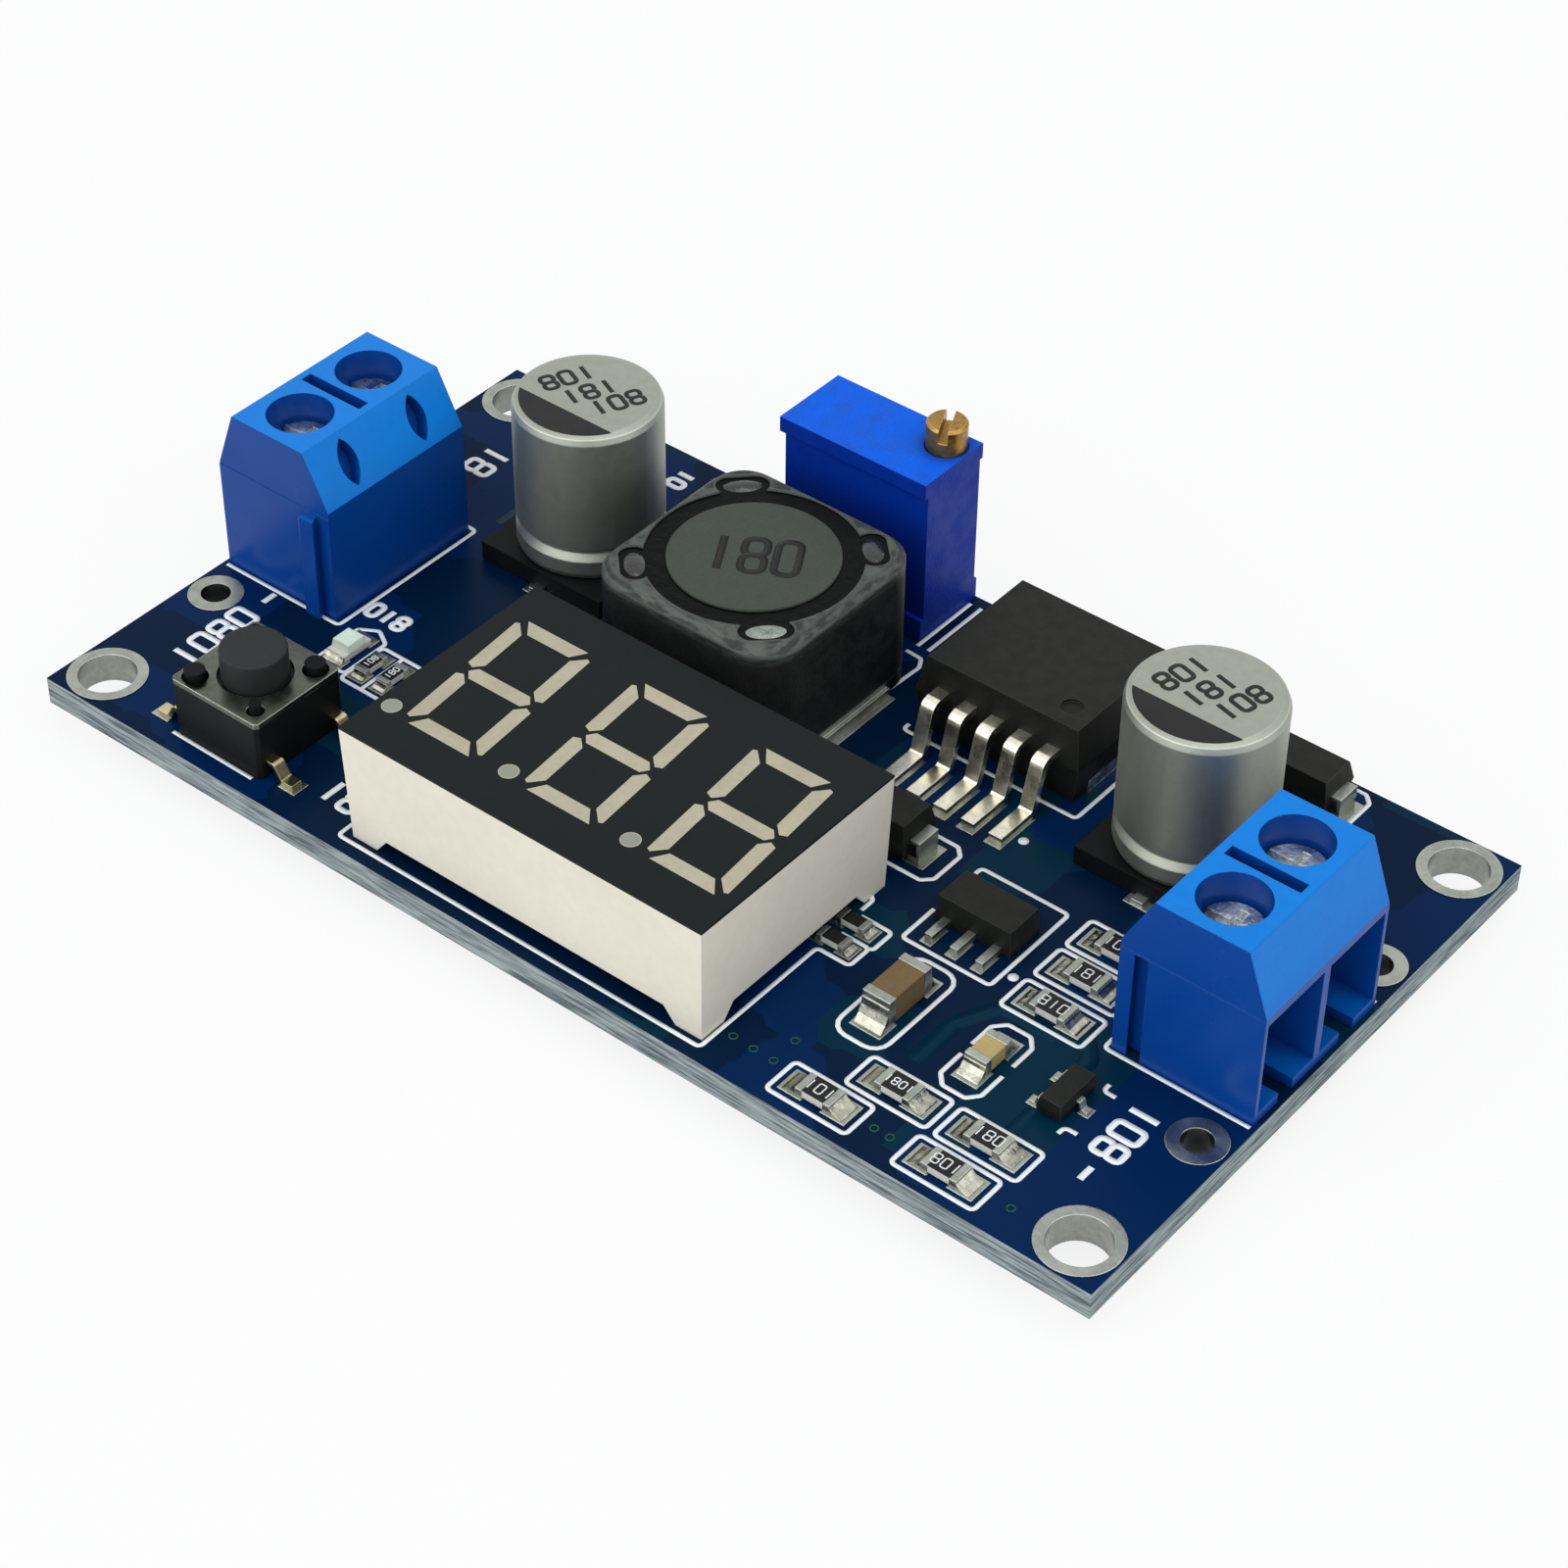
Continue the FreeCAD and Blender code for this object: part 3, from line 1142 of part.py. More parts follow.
def chip_places():
    """Every plain chip: what it is, its size, place, turn and pad length."""
    side_x = DISPLAY_X + DISPLAY_L / 2 + DISPLAY_SIDE_PARTS_OUT
    chips = [("resistor", SIZE_MEDIUM, x, y, 0, PAD_OUT_MEDIUM) for x, y in MEDIUM_RESISTORS]
    chips += [("resistor", SIZE_SMALL, x, y, 90, PAD_OUT_SMALL) for x, y in INDICATOR_RESISTORS]
    chips += [("resistor", SIZE_SMALL, side_x, y, 0, PAD_OUT_SMALL) for y in DISPLAY_SIDE_PARTS_Y]
    chips.append(("big ceramic", SIZE_BIG_CERAMIC, *BIG_CERAMIC, 90, PAD_OUT_CERAMIC))
    chips.append(("small ceramic", SIZE_SMALL_CERAMIC, *SMALL_CERAMIC, 90, PAD_OUT_CERAMIC))
    return chips


def chip_body(size):
    length, width, height, cap = size
    return block(0, 0, length - 2 * END_CAP_T, width - 2 * END_CAP_T, END_CAP_T, height - END_CAP_T)


def chip_end_caps(size):
    """The two metal caps that wrap the ends, each as its own solid."""
    length, width, height, cap = size
    inner = chip_body(size)
    right = box(length / 2 - cap, length / 2, -width / 2, width / 2, 0, height).cut(inner)
    return [right, placed(right, 0, 0, 0, 180)]


def chip_coating(size):
    """The dark glass over the resistive film, between the end caps."""
    length, width, height, cap = size
    top = height - END_CAP_T
    return block(0, 0, length - 2 * cap, width - 2 * END_CAP_T, top, top + COATING_T)


def solder_wedge(height, length, width):
    """Solder that climbs the end of a part: a hollow slope from its top to the pad."""
    slope = [(length * along, height * up) for along, up in FILLET_SLOPE]
    return prism_y([(0, 0), (length, 0)] + slope + [(0, height)], -width / 2, width / 2)


def chips_of(kind, make):
    solids = []
    for name, size, x, y, turn, pad_out in chip_places():
        if name == kind:
            made = make(size)
            made = made if isinstance(made, list) else [made]
            solids += [placed(solid, x, y, SMD_TOP, turn) for solid in made]
    return solids


def resistor_bodies():
    return chips_of("resistor", chip_body)


def resistor_coatings():
    return chips_of("resistor", chip_coating)


def resistor_end_caps():
    return chips_of("resistor", chip_end_caps)


def ceramic_end_caps():
    return chips_of("big ceramic", chip_end_caps) + chips_of("small ceramic", chip_end_caps)


# Indicator lamp, with its length along Y

def indicator_lens():
    lens = tapered_block(INDICATOR_LENS_L, INDICATOR_W, INDICATOR_BASE_T,
                         INDICATOR_BASE_T + INDICATOR_LENS_H, INDICATOR_LENS_DRAFT)
    return placed(lens, *INDICATOR, SMD_TOP, 90)


def indicator_base():
    base = block(0, 0, INDICATOR_L, INDICATOR_W, 0, INDICATOR_BASE_T)
    return placed(base, *INDICATOR, SMD_TOP, 90)


# Pads and solder on the top face

def pad(x, y, length, width, turn):
    return placed(block(0, 0, length, width, TOP, SMD_TOP), x, y, 0, turn)


def turned_point(x, y, along, across, turn):
    angle = math.radians(turn)
    return (x + along * math.cos(angle) - across * math.sin(angle),
            y + along * math.sin(angle) + across * math.cos(angle))


def end_pads(x, y, half, under, out, width, turn):
    """Two pads under the ends of a part of half length half."""
    pads = []
    for side in (-1, 1):
        middle = side * (half + (out - under) / 2)
        px, py = turned_point(x, y, middle, 0, turn)
        pads.append(pad(px, py, out + under, width, turn))
    return pads


def solder_pads():
    pads = []
    for name, size, x, y, turn, pad_out in chip_places():
        pads += end_pads(x, y, size[0] / 2, PAD_UNDER, pad_out, size[1] + 2 * PAD_SIDE, turn)
    pads += end_pads(*INDICATOR, INDICATOR_L / 2, INDICATOR_CAP_L, PAD_OUT_SMALL,
                     INDICATOR_W + 2 * PAD_SIDE, 90)
    for x, y in (CATCH_DIODE, INPUT_DIODE):
        pads += end_pads(x, y, DIODE_L / 2 + DIODE_TERMINAL_REACH, DIODE_TERMINAL_UNDER,
                         PAD_OUT_SMALL, DIODE_TERMINAL_W + 2 * DIODE_PAD_SIDE, 0)
    for x, y in (INPUT_CAP, OUTPUT_CAP):
        pads += end_pads(x, y, CAP_BASE_W / 2 + CAP_LEAD_OUT, CAP_PAD_UNDER, PAD_SIDE,
                         CAP_LEAD_W + 2 * CAP_PAD_SIDE, 90)
    pads += end_pads(INDUCTOR_X, INDUCTOR_Y, INDUCTOR_W / 2, CLIP_UNDER, PAD_OUT_SMALL,
                     CLIP_W + 2 * PAD_SIDE, 0)
    foot = LEAD_REACH - LEAD_KNEE
    for index in range(REGULATOR_LEADS):
        x = REGULATOR_X + (index - (REGULATOR_LEADS - 1) / 2) * LEAD_PITCH
        y = REGULATOR_Y - REGULATOR_D / 2 - LEAD_REACH + foot / 2
        pads.append(pad(x, y - PAD_SIDE, LEAD_W + 2 * PAD_SIDE, foot + 2 * PAD_SIDE, 0))
    tab_back = REGULATOR_Y + REGULATOR_D / 2 + TAB_OUT
    pads.append(pad(REGULATOR_X, tab_back - (TAB_UNDER + TAB_OUT) / 2, TAB_W, TAB_UNDER + TAB_OUT, 0))
    for side_x in (-1, 1):
        for side_y in (-1, 1):
            foot = BUTTON_LEAD_REACH * LEAD_FOOT_SHARE
            x = BUTTON_X + side_x * (BUTTON_W / 2 + BUTTON_LEAD_REACH - foot / 2 + PAD_SIDE)
            pads.append(pad(x, BUTTON_Y + side_y * BUTTON_LEAD_SPACING / 2,
                            foot + 2 * BUTTON_PAD_SIDE, BUTTON_LEAD_W + 2 * BUTTON_PAD_SIDE, 0))
    supply_x, supply_y = SUPPLY_CHIP
    for step in (-1, 0, 1):
        pads.append(pad(supply_x + step * SUPPLY_PITCH,
                        supply_y - SUPPLY_D / 2 - SUPPLY_LEAD_REACH + SUPPLY_LEAD_W,
                        SUPPLY_LEAD_W + 2 * PAD_SIDE, SUPPLY_LEAD_REACH, 0))
    pads.append(pad(supply_x, supply_y + SUPPLY_D / 2, SUPPLY_TAB_W + 2 * PAD_SIDE, 2 * SUPPLY_TAB_REACH, 0))
    x, y = TRANSISTOR
    foot_x = TRANSISTOR_W / 2 + TRANSISTOR_REACH * (1 + LEAD_FOOT_SHARE) / 2
    for dx, dy in ((foot_x, 0), (-foot_x, TRANSISTOR_PITCH / 2), (-foot_x, -TRANSISTOR_PITCH / 2)):
        pads.append(pad(x + dx, y + dy, TRANSISTOR_REACH, TRANSISTOR_LEAD_W + 2 * PAD_SIDE, 0))
    row_y = DRIVER_W / 2 + DRIVER_REACH * (1 + LEAD_FOOT_SHARE) / 2
    for side in (-1, 1):
        for index in range(DRIVER_LEADS_A_SIDE):
            along = (index - (DRIVER_LEADS_A_SIDE - 1) / 2) * DRIVER_PITCH
            pads.append(pad(DISPLAY_X + along, DISPLAY_Y + side * row_y, DRIVER_LEAD_W + PAD_T,
                            DRIVER_REACH, 0))
    return pads


def chip_solder_fillets():
    """The bright slopes of solder at the ends of the chips."""
    fillets = []
    for name, size, x, y, turn, pad_out in chip_places():
        length, width, height, cap = size
        wedge = solder_wedge(height * FILLET_SHARE, pad_out * FILLET_SHARE, width)
        for way in (0, 180):
            px, py = turned_point(x, y, length / 2, 0, turn + way)
            fillets.append(placed(wedge, px, py, SMD_TOP, turn + way))
    x, y = INDICATOR
    wedge = solder_wedge(INDICATOR_BASE_T, PAD_OUT_SMALL * FILLET_SHARE, INDICATOR_W)
    for turn in (90, 270):
        px, py = turned_point(x, y, INDICATOR_L / 2, 0, turn)
        fillets.append(placed(wedge, px, py, SMD_TOP, turn))
    return fillets


def at_point(shape, place, turn=0):
    return placed(shape, *place, SMD_TOP, turn)


def all_nodes():
    """Every named piece, as lists of solids in the layout's frame."""
    nodes = {
        "circuit_board": circuit_board(),
        "hole_plating": hole_plating(),
        "solder_pads": solder_pads(),
        "pin_solder_joints": pin_solder_joints(),
        "chip_solder_fillets": chip_solder_fillets(),
        "terminal_pins": [in_terminal(terminal_pin(), end, 0, side * WAY_PITCH / 2)
                          for end in ("input", "output") for side in (-1, 1)],
        "display_shell": display_shell(),
        "display_face": display_face(),
        "display_segments": display_segments(),
        "display_base_board": display_base_board(),
        "display_pins": display_pins(),
        "capacitor_leads": capacitor_leads(),
        "inductor_shield": [at_inductor(inductor_shield())],
        "inductor_core": [at_inductor(inductor_core())],
        "inductor_winding": [at_inductor(inductor_winding())],
        "inductor_glue": [at_inductor(inductor_glue())],
        "inductor_base": [at_inductor(inductor_base())],
        "inductor_terminals": [at_inductor(inductor_terminal(), turn) for turn in (0, 180)],
        "trimmer_housing": trimmer_housing(),
        "trimmer_screw": trimmer_screw(),
        "trimmer_pins": trimmer_pins(),
        "regulator_body": [at_regulator(regulator_body())],
        "regulator_leadframe": [at_regulator(piece) for piece in regulator_leadframe()],
        "button_base": [at_button(button_base())],
        "button_cover": [at_button(button_cover())],
        "button_plunger": [at_button(button_plunger())],
        "button_dome": [at_button(button_dome())],
        "button_terminals": [at_button(lead) for lead in button_terminals()],
        "catch_diode_body": [at_point(diode_body(), CATCH_DIODE)],
        "input_diode_body": [at_point(diode_body(), INPUT_DIODE)],
        "diode_terminals": diode_terminals(),
        "supply_chip_body": [at_point(supply_body(), SUPPLY_CHIP)],
        "supply_chip_leads": [at_point(lead, SUPPLY_CHIP) for lead in supply_leads()],
        "transistor_body": [at_point(transistor_body(), TRANSISTOR)],
        "transistor_leads": [at_point(lead, TRANSISTOR) for lead in transistor_leads()],
        "display_driver_body": [at_driver(driver_body())],
        "display_driver_leads": [at_driver(lead) for lead in driver_leads()],
        "resistor_bodies": resistor_bodies(),
        "resistor_coatings": resistor_coatings(),
        "resistor_end_caps": resistor_end_caps(),
        "big_ceramic_capacitor": chips_of("big ceramic", chip_body),
        "small_ceramic_capacitor": chips_of("small ceramic", chip_body),
        "ceramic_capacitor_caps": ceramic_end_caps(),
        "indicator_lens": [indicator_lens()],
        "indicator_base": [indicator_base()],
    }
    for end, place in (("input", INPUT_CAP), ("output", OUTPUT_CAP)):
        nodes[end + "_terminal_housing"] = [in_terminal(terminal_housing(), end)]
        nodes[end + "_capacitor_base"] = [at_point(capacitor_base(), place)]
        nodes[end + "_capacitor_can"] = [placed(capacitor_can(), *place, SMD_TOP + CAP_BASE_H)]
        for name, side in (("front", -1), ("back", 1)):
            nodes[end + "_screw_" + name] = [terminal_way(terminal_screw(), end, side)]
            nodes[end + "_clamp_" + name] = [terminal_way(clamp_cage(), end, side)]
    return nodes


def main():
    os.makedirs("parts", exist_ok=True)
    for name, solids in sorted(all_nodes().items()):
        moved = [placed(solid, -BOARD_L / 2, -BOARD_W / 2) for solid in solids]
        shape = Part.makeCompound([solid for item in moved for solid in item.Solids])
        if not shape.isValid():
            raise ValueError(name + " is not a valid shape")
        print(name, len(shape.Solids), "solids", round(shape.Volume, 3), "mm3")
        shape.exportStep(os.path.join("parts", name + ".step"))


main()
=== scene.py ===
# %% [markdown]
# A buck converter module in its finished look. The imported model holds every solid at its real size.
# This script gives the solids their finishes, prints and fine detail, and never moves or resizes them.

import json
import math

import bmesh
import bpy
from mathutils import Matrix, Vector


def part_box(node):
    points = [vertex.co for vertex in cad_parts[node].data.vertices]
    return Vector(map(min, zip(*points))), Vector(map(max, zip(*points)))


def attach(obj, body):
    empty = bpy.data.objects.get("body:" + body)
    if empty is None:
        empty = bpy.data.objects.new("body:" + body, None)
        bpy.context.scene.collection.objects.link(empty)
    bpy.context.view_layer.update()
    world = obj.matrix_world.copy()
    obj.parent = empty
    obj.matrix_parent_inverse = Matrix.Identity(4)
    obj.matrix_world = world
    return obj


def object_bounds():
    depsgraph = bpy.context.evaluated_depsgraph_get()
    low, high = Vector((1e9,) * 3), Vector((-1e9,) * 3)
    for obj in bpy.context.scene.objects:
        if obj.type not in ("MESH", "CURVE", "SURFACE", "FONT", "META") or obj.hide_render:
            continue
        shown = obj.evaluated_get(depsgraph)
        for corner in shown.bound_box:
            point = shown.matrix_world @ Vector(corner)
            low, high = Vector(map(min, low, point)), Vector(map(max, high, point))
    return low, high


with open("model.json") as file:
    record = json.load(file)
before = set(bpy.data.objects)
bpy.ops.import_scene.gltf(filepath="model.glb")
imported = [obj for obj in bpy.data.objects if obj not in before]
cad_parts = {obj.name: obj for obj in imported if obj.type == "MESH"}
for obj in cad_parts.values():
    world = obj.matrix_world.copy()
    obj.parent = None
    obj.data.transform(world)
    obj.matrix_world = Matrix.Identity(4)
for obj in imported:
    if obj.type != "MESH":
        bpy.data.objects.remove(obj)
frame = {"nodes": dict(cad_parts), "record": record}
cad_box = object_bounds()
nodes = frame["nodes"]
MM = 0.001

# %% [markdown]
# Places on the board are given as a person would measure them: millimetres right of its left end and
# back from its front edge. The frame itself has its origin in the middle of the board, in metres.

# %% Places on the board
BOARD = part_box("circuit_board")
BOARD_TOP = BOARD[1].z
SAME_PLACE = 0.001 * MM


def at(x, y):
    """A place on the board's top, from millimetres right of its left end and back from its front."""
    return Vector((BOARD[0].x + x * MM, BOARD[0].y + y * MM, BOARD_TOP))


def middle(box):
    """The middle of a box."""
    return (box[0] + box[1]) / 2


def size_of(box):
    """The size of a box along x, y and z."""
    return box[1] - box[0]


def top_of(box):
    """The middle of a box's top."""
    return Vector((*middle(box)[:2], box[1].z))


def solids_of(name):
    """The boxes of the separate solids that a node holds, each as its lowest and highest corner."""
    mesh = bmesh.new()
    mesh.from_mesh(nodes[name].data)
    bmesh.ops.remove_doubles(mesh, verts=mesh.verts, dist=SAME_PLACE)
    left, boxes = set(mesh.verts), []
    while left:
        group, edge = [], [left.pop()]
        while edge:
            vert = edge.pop()
            group.append(vert.co.copy())
            near = {e.other_vert(vert) for e in vert.link_edges} & left
            left -= near
            edge.extend(near)
        boxes.append((Vector(map(min, zip(*group))), Vector(map(max, zip(*group)))))
    mesh.free()
    return sorted(boxes, key=lambda box: tuple(box[0]))


print("board top", round(BOARD_TOP / MM, 3), "mm")

# %% [markdown]
# The camera stands where the photograph was taken from. It looks down at the board from over its front
# right corner. A point to stand at, a point to look at and a small roll say all of that, and a long lens
# keeps the perspective as mild as it is in the photograph.

# %% The camera
CAMERA_PLACE = Vector((92.27, -113.74, 127.37)) * MM
CAMERA_TARGET = Vector((0.28, 1.17, 0.0)) * MM
CAMERA_ROLL = 0.65
LENS = 88.44
SENSOR_WIDTH = 36.0
NEAREST, FARTHEST = 0.01, 20.0

camera_data = bpy.data.cameras.new("view")
camera_data.lens = LENS
camera_data.sensor_width = SENSOR_WIDTH
camera_data.clip_start = NEAREST
camera_data.clip_end = FARTHEST
camera = bpy.data.objects.new("view", camera_data)
bpy.context.collection.objects.link(camera)
aim = (CAMERA_TARGET - CAMERA_PLACE).to_track_quat("-Z", "Y").to_matrix().to_4x4()
roll = Matrix.Rotation(math.radians(CAMERA_ROLL), 4, "Z")
camera.matrix_world = Matrix.Translation(CAMERA_PLACE) @ aim @ roll
bpy.context.scene.camera = camera
print("camera", tuple(round(v, 4) for v in camera.location))

# %% [markdown]
# A shader is a graph of small nodes. These helpers keep the graphs short to write: one makes a node and
# wires or sets its inputs, one mixes two colours, and one makes a cloudy noise of a given size.

# %% Shader helpers
def srgb(red, green, blue):
    """The linear colour of a shade as a screen shows it, each value from 0 to 255."""
    shown = [value / 255.0 for value in (red, green, blue)]
    return (*[v / 12.92 if v <= 0.04045 else ((v + 0.055) / 1.055) ** 2.4 for v in shown], 1.0)


def step(tree, kind, inputs=None, **settings):
    """A new node in a tree, with its settings, and its inputs wired to sockets or set to values."""
    made = tree.nodes.new(kind)
    for name, value in settings.items():
        setattr(made, name, value)
    for name, value in (inputs or {}).items():
        if isinstance(value, bpy.types.NodeSocket):
            tree.links.new(value, made.inputs[name])
        else:
            made.inputs[name].default_value = value
    return made


def mixed(tree, amount, first, second):
    """The socket of a colour that goes from the first to the second as the amount goes from 0 to 1."""
    return step(tree, "ShaderNodeMix", {0: amount, 6: first, 7: second}, data_type="RGBA").outputs[2]


def spread_over(tree, value, low, high, new_low=0.0, new_high=1.0):
    """The socket of a value taken from one range to another, and kept inside it."""
    levels = {"Value": value, "From Min": low, "From Max": high, "To Min": new_low, "To Max": new_high}
    return step(tree, "ShaderNodeMapRange", levels).outputs["Result"]


def math_of(tree, operation, first, second=0.0):
    """The socket of one sum on two values."""
    return step(tree, "ShaderNodeMath", {0: first, 1: second}, operation=operation).outputs[0]


def clouds(tree, place, size, detail=3.0, stretch=(1.0, 1.0, 1.0)):
    """The socket of a noise whose clouds are about so many metres across, along x, y and z."""
    scale = [1.0 / (size * way) for way in stretch]
    moved = step(tree, "ShaderNodeMapping", {"Vector": place, "Scale": scale}).outputs[0]
    return step(tree, "ShaderNodeTexNoise", {"Vector": moved, "Scale": 1.0, "Detail": detail}).outputs[0]


def tint(colour, amount):
    """A colour made lighter or darker."""
    return (*[min(1.0, value * amount) for value in colour[:3]], 1.0)


print("shader helpers ready")

# %% [markdown]
# Nothing on a real board has one flat colour. Each finish below starts from the same recipe: broad clouds
# and fine specks shift the colour and the gloss a little, and a fine bump gives the grain of the mould or
# the metal. A bevel of a tenth of a millimetre lets the edges catch the light. Where the bevel turns the
# normal away from the face there is an edge, so the same node also tells where a lighter edge colour goes,
# which is partly wear and partly a painted highlight. Every finish is kept under its own name, to be found
# again when the pieces are painted.

# %% The recipe for a finish
CLOUD_LOW, CLOUD_HIGH = 0.35, 0.65
BROAD_GRAINS = 8
FINE_SHARE = 0.4
EDGE_WEAR_AND_HIGHLIGHT_START = 0.985
EDGE_WEAR_AND_HIGHLIGHT_END = 0.88
BEVEL_SAMPLES = 4
finishes = {}


def surface(name, colour, roughness, metallic=0.0, grain=0.25 * MM, spread=0.12, gloss=0.08,
            bump=0.004 * MM, edge=0.08 * MM, specular=0.5, wear=None):
    """A finish with mottled colour, uneven gloss, a fine grain and softened edges, perhaps lighter there
    with wear and a painted highlight.
    """
    material = bpy.data.materials.new(name)
    material.use_nodes = True
    tree = material.node_tree
    shader = tree.nodes["Principled BSDF"]
    place = step(tree, "ShaderNodeTexCoord").outputs["Object"]
    broad = clouds(tree, place, grain * BROAD_GRAINS)
    fine = clouds(tree, place, grain)
    both = math_of(tree, "ADD", math_of(tree, "MULTIPLY", broad, 1.0 - FINE_SHARE),
                   math_of(tree, "MULTIPLY", fine, FINE_SHARE))
    amount = spread_over(tree, both, CLOUD_LOW, CLOUD_HIGH)
    shade = mixed(tree, amount, tint(colour, 1.0 - spread), tint(colour, 1.0 + spread))
    shine = spread_over(tree, broad, CLOUD_LOW, CLOUD_HIGH, roughness - gloss, roughness + gloss)
    rounded = step(tree, "ShaderNodeBevel", {"Radius": edge}, samples=BEVEL_SAMPLES).outputs[0]
    # Edges take a lighter colour here, which is partly wear and partly a painted highlight.
    if wear:
        flat = step(tree, "ShaderNodeNewGeometry").outputs["Normal"]
        agree = step(tree, "ShaderNodeVectorMath", {0: rounded, 1: flat}, operation="DOT_PRODUCT")
        at_edge = spread_over(tree, agree.outputs["Value"], EDGE_WEAR_AND_HIGHLIGHT_END, EDGE_WEAR_AND_HIGHLIGHT_START, 1.0, 0.0)
        shade = mixed(tree, at_edge, shade, wear)
    height = {"Height": fine, "Distance": bump, "Strength": 1.0, "Normal": rounded}
    normal = step(tree, "ShaderNodeBump", height).outputs[0]
    shader.inputs["Base Color"].default_value = colour
    shader.inputs["Roughness"].default_value = roughness
    shader.inputs["Metallic"].default_value = metallic
    shader.inputs["Specular IOR Level"].default_value = specular
    tree.links.new(shade, shader.inputs["Base Color"])
    tree.links.new(shine, shader.inputs["Roughness"])
    tree.links.new(normal, shader.inputs["Normal"])
    finishes[name] = material
    return material


def metal(name, colour, roughness, **more):
    """A metal's finish."""
    return surface(name, colour, roughness, metallic=1.0, **more)


def parts_of(material):
    """The tree, the shader and the object coordinates of a finish."""
    tree = material.node_tree
    place = next(n for n in tree.nodes if n.bl_idname == "ShaderNodeTexCoord").outputs["Object"]
    return tree, tree.nodes["Principled BSDF"], place


def feeding(socket):
    """The socket that is wired into an input."""
    return socket.links[0].from_socket


print("the recipe is ready")

# %% [markdown]
# The board is three things at once: a blue solder mask above and below, a copper layer that shows through
# it as fields of paler blue and of teal, and a grey streaked edge of woven glass. The height in the board
# tells the mask from the edge, and a noise of angular cells draws the copper fields.

# %% The board
MASK_SKIN = 0.03 * MM
MASK_BARE = srgb(0, 27, 56)
MASK_OVER_COPPER = srgb(0, 35, 78)
MASK_TEAL = srgb(0, 42, 62)
MASK_ROUGHNESS = 0.33
GLASS_PALE = srgb(160, 170, 172)
GLASS_DARK = srgb(86, 98, 103)
GLASS_ROUGHNESS = 0.75
FIELD_SIZE = 4.4 * MM
FIELD_SCATTER = 0.8
COPPER_ABOVE = 0.4
TEAL_ABOVE = 0.7
STREAK_SIZE = 0.35 * MM
STREAK_STRETCH = (6.0, 6.0, 0.35)
STREAK_DARK, STREAK_PALE = 0.35, 0.62


def board_finish():
    """Makes blue solder mask over copper fields, and a streaked glass edge."""
    board = surface("board_laminate", MASK_BARE, 0.34, spread=0.1, bump=0.002 * MM, edge=0.01 * MM,
                    specular=0.05)
    tree, shader, place = parts_of(board)
    height = step(tree, "ShaderNodeSeparateXYZ", {0: place}).outputs["Z"]
    from_middle = math_of(tree, "ABSOLUTE", math_of(tree, "SUBTRACT", height, BOARD_TOP / 2))
    on_mask = math_of(tree, "GREATER_THAN", from_middle, BOARD_TOP / 2 - MASK_SKIN)
    cells = {"Vector": place, "Scale": 1.0 / FIELD_SIZE, "Randomness": FIELD_SCATTER}
    fields = step(tree, "ShaderNodeTexVoronoi", cells, distance="CHEBYCHEV").outputs["Color"]
    values = step(tree, "ShaderNodeSeparateColor", {0: fields}).outputs
    copper = math_of(tree, "GREATER_THAN", values[0], COPPER_ABOVE)
    teal = math_of(tree, "GREATER_THAN", values[1], TEAL_ABOVE)
    mask = mixed(tree, copper, MASK_BARE, mixed(tree, teal, MASK_OVER_COPPER, MASK_TEAL))
    streaks = clouds(tree, place, STREAK_SIZE, stretch=STREAK_STRETCH)
    glass = mixed(tree, spread_over(tree, streaks, STREAK_DARK, STREAK_PALE), GLASS_DARK, GLASS_PALE)
    tree.links.new(mixed(tree, on_mask, glass, mask), shader.inputs["Base Color"])
    gain = math_of(tree, "MULTIPLY", on_mask, GLASS_ROUGHNESS - MASK_ROUGHNESS)
    shine = math_of(tree, "SUBTRACT", GLASS_ROUGHNESS, gain)
    tree.links.new(shine, shader.inputs["Roughness"])


board_finish()
print("board finish ready")

# %% [markdown]
# The blue plastic carries painted light: its upward faces are painted a light azure, and its upright sides,
# its slits and its parts down near the board a painted shade of deep blue. The direction that each face
# looks in, its height and how much the plastic round it shuts it in set the mix. The same measure of open
# air paints shade deep inside the narrow plated holes.

# %% Finishes with painted light and shade
PAINTED_LIGHT_START = 3.0 * MM
PAINTED_LIGHT_FULL = 8.0 * MM
PAINTED_LIGHT_LEAST = 0.3
SIDEWAYS, UPWARD = 0.05, 0.4
SLIT_REACH = 1.2 * MM
SLIT_SHUT, SLIT_OPEN = 0.5, 0.9
HOLE_REACH = 2.2 * MM
HOLE_SHUT, HOLE_OPEN = 0.45, 0.9
AIR_SAMPLES = 8


def open_air(tree, reach, low, high):
    """The socket of how open a place is: 0 where faces near it shut it in, and 1 where it is free."""
    air = step(tree, "ShaderNodeAmbientOcclusion", {"Distance": reach}, samples=AIR_SAMPLES)
    return spread_over(tree, air.outputs["AO"], low, high)


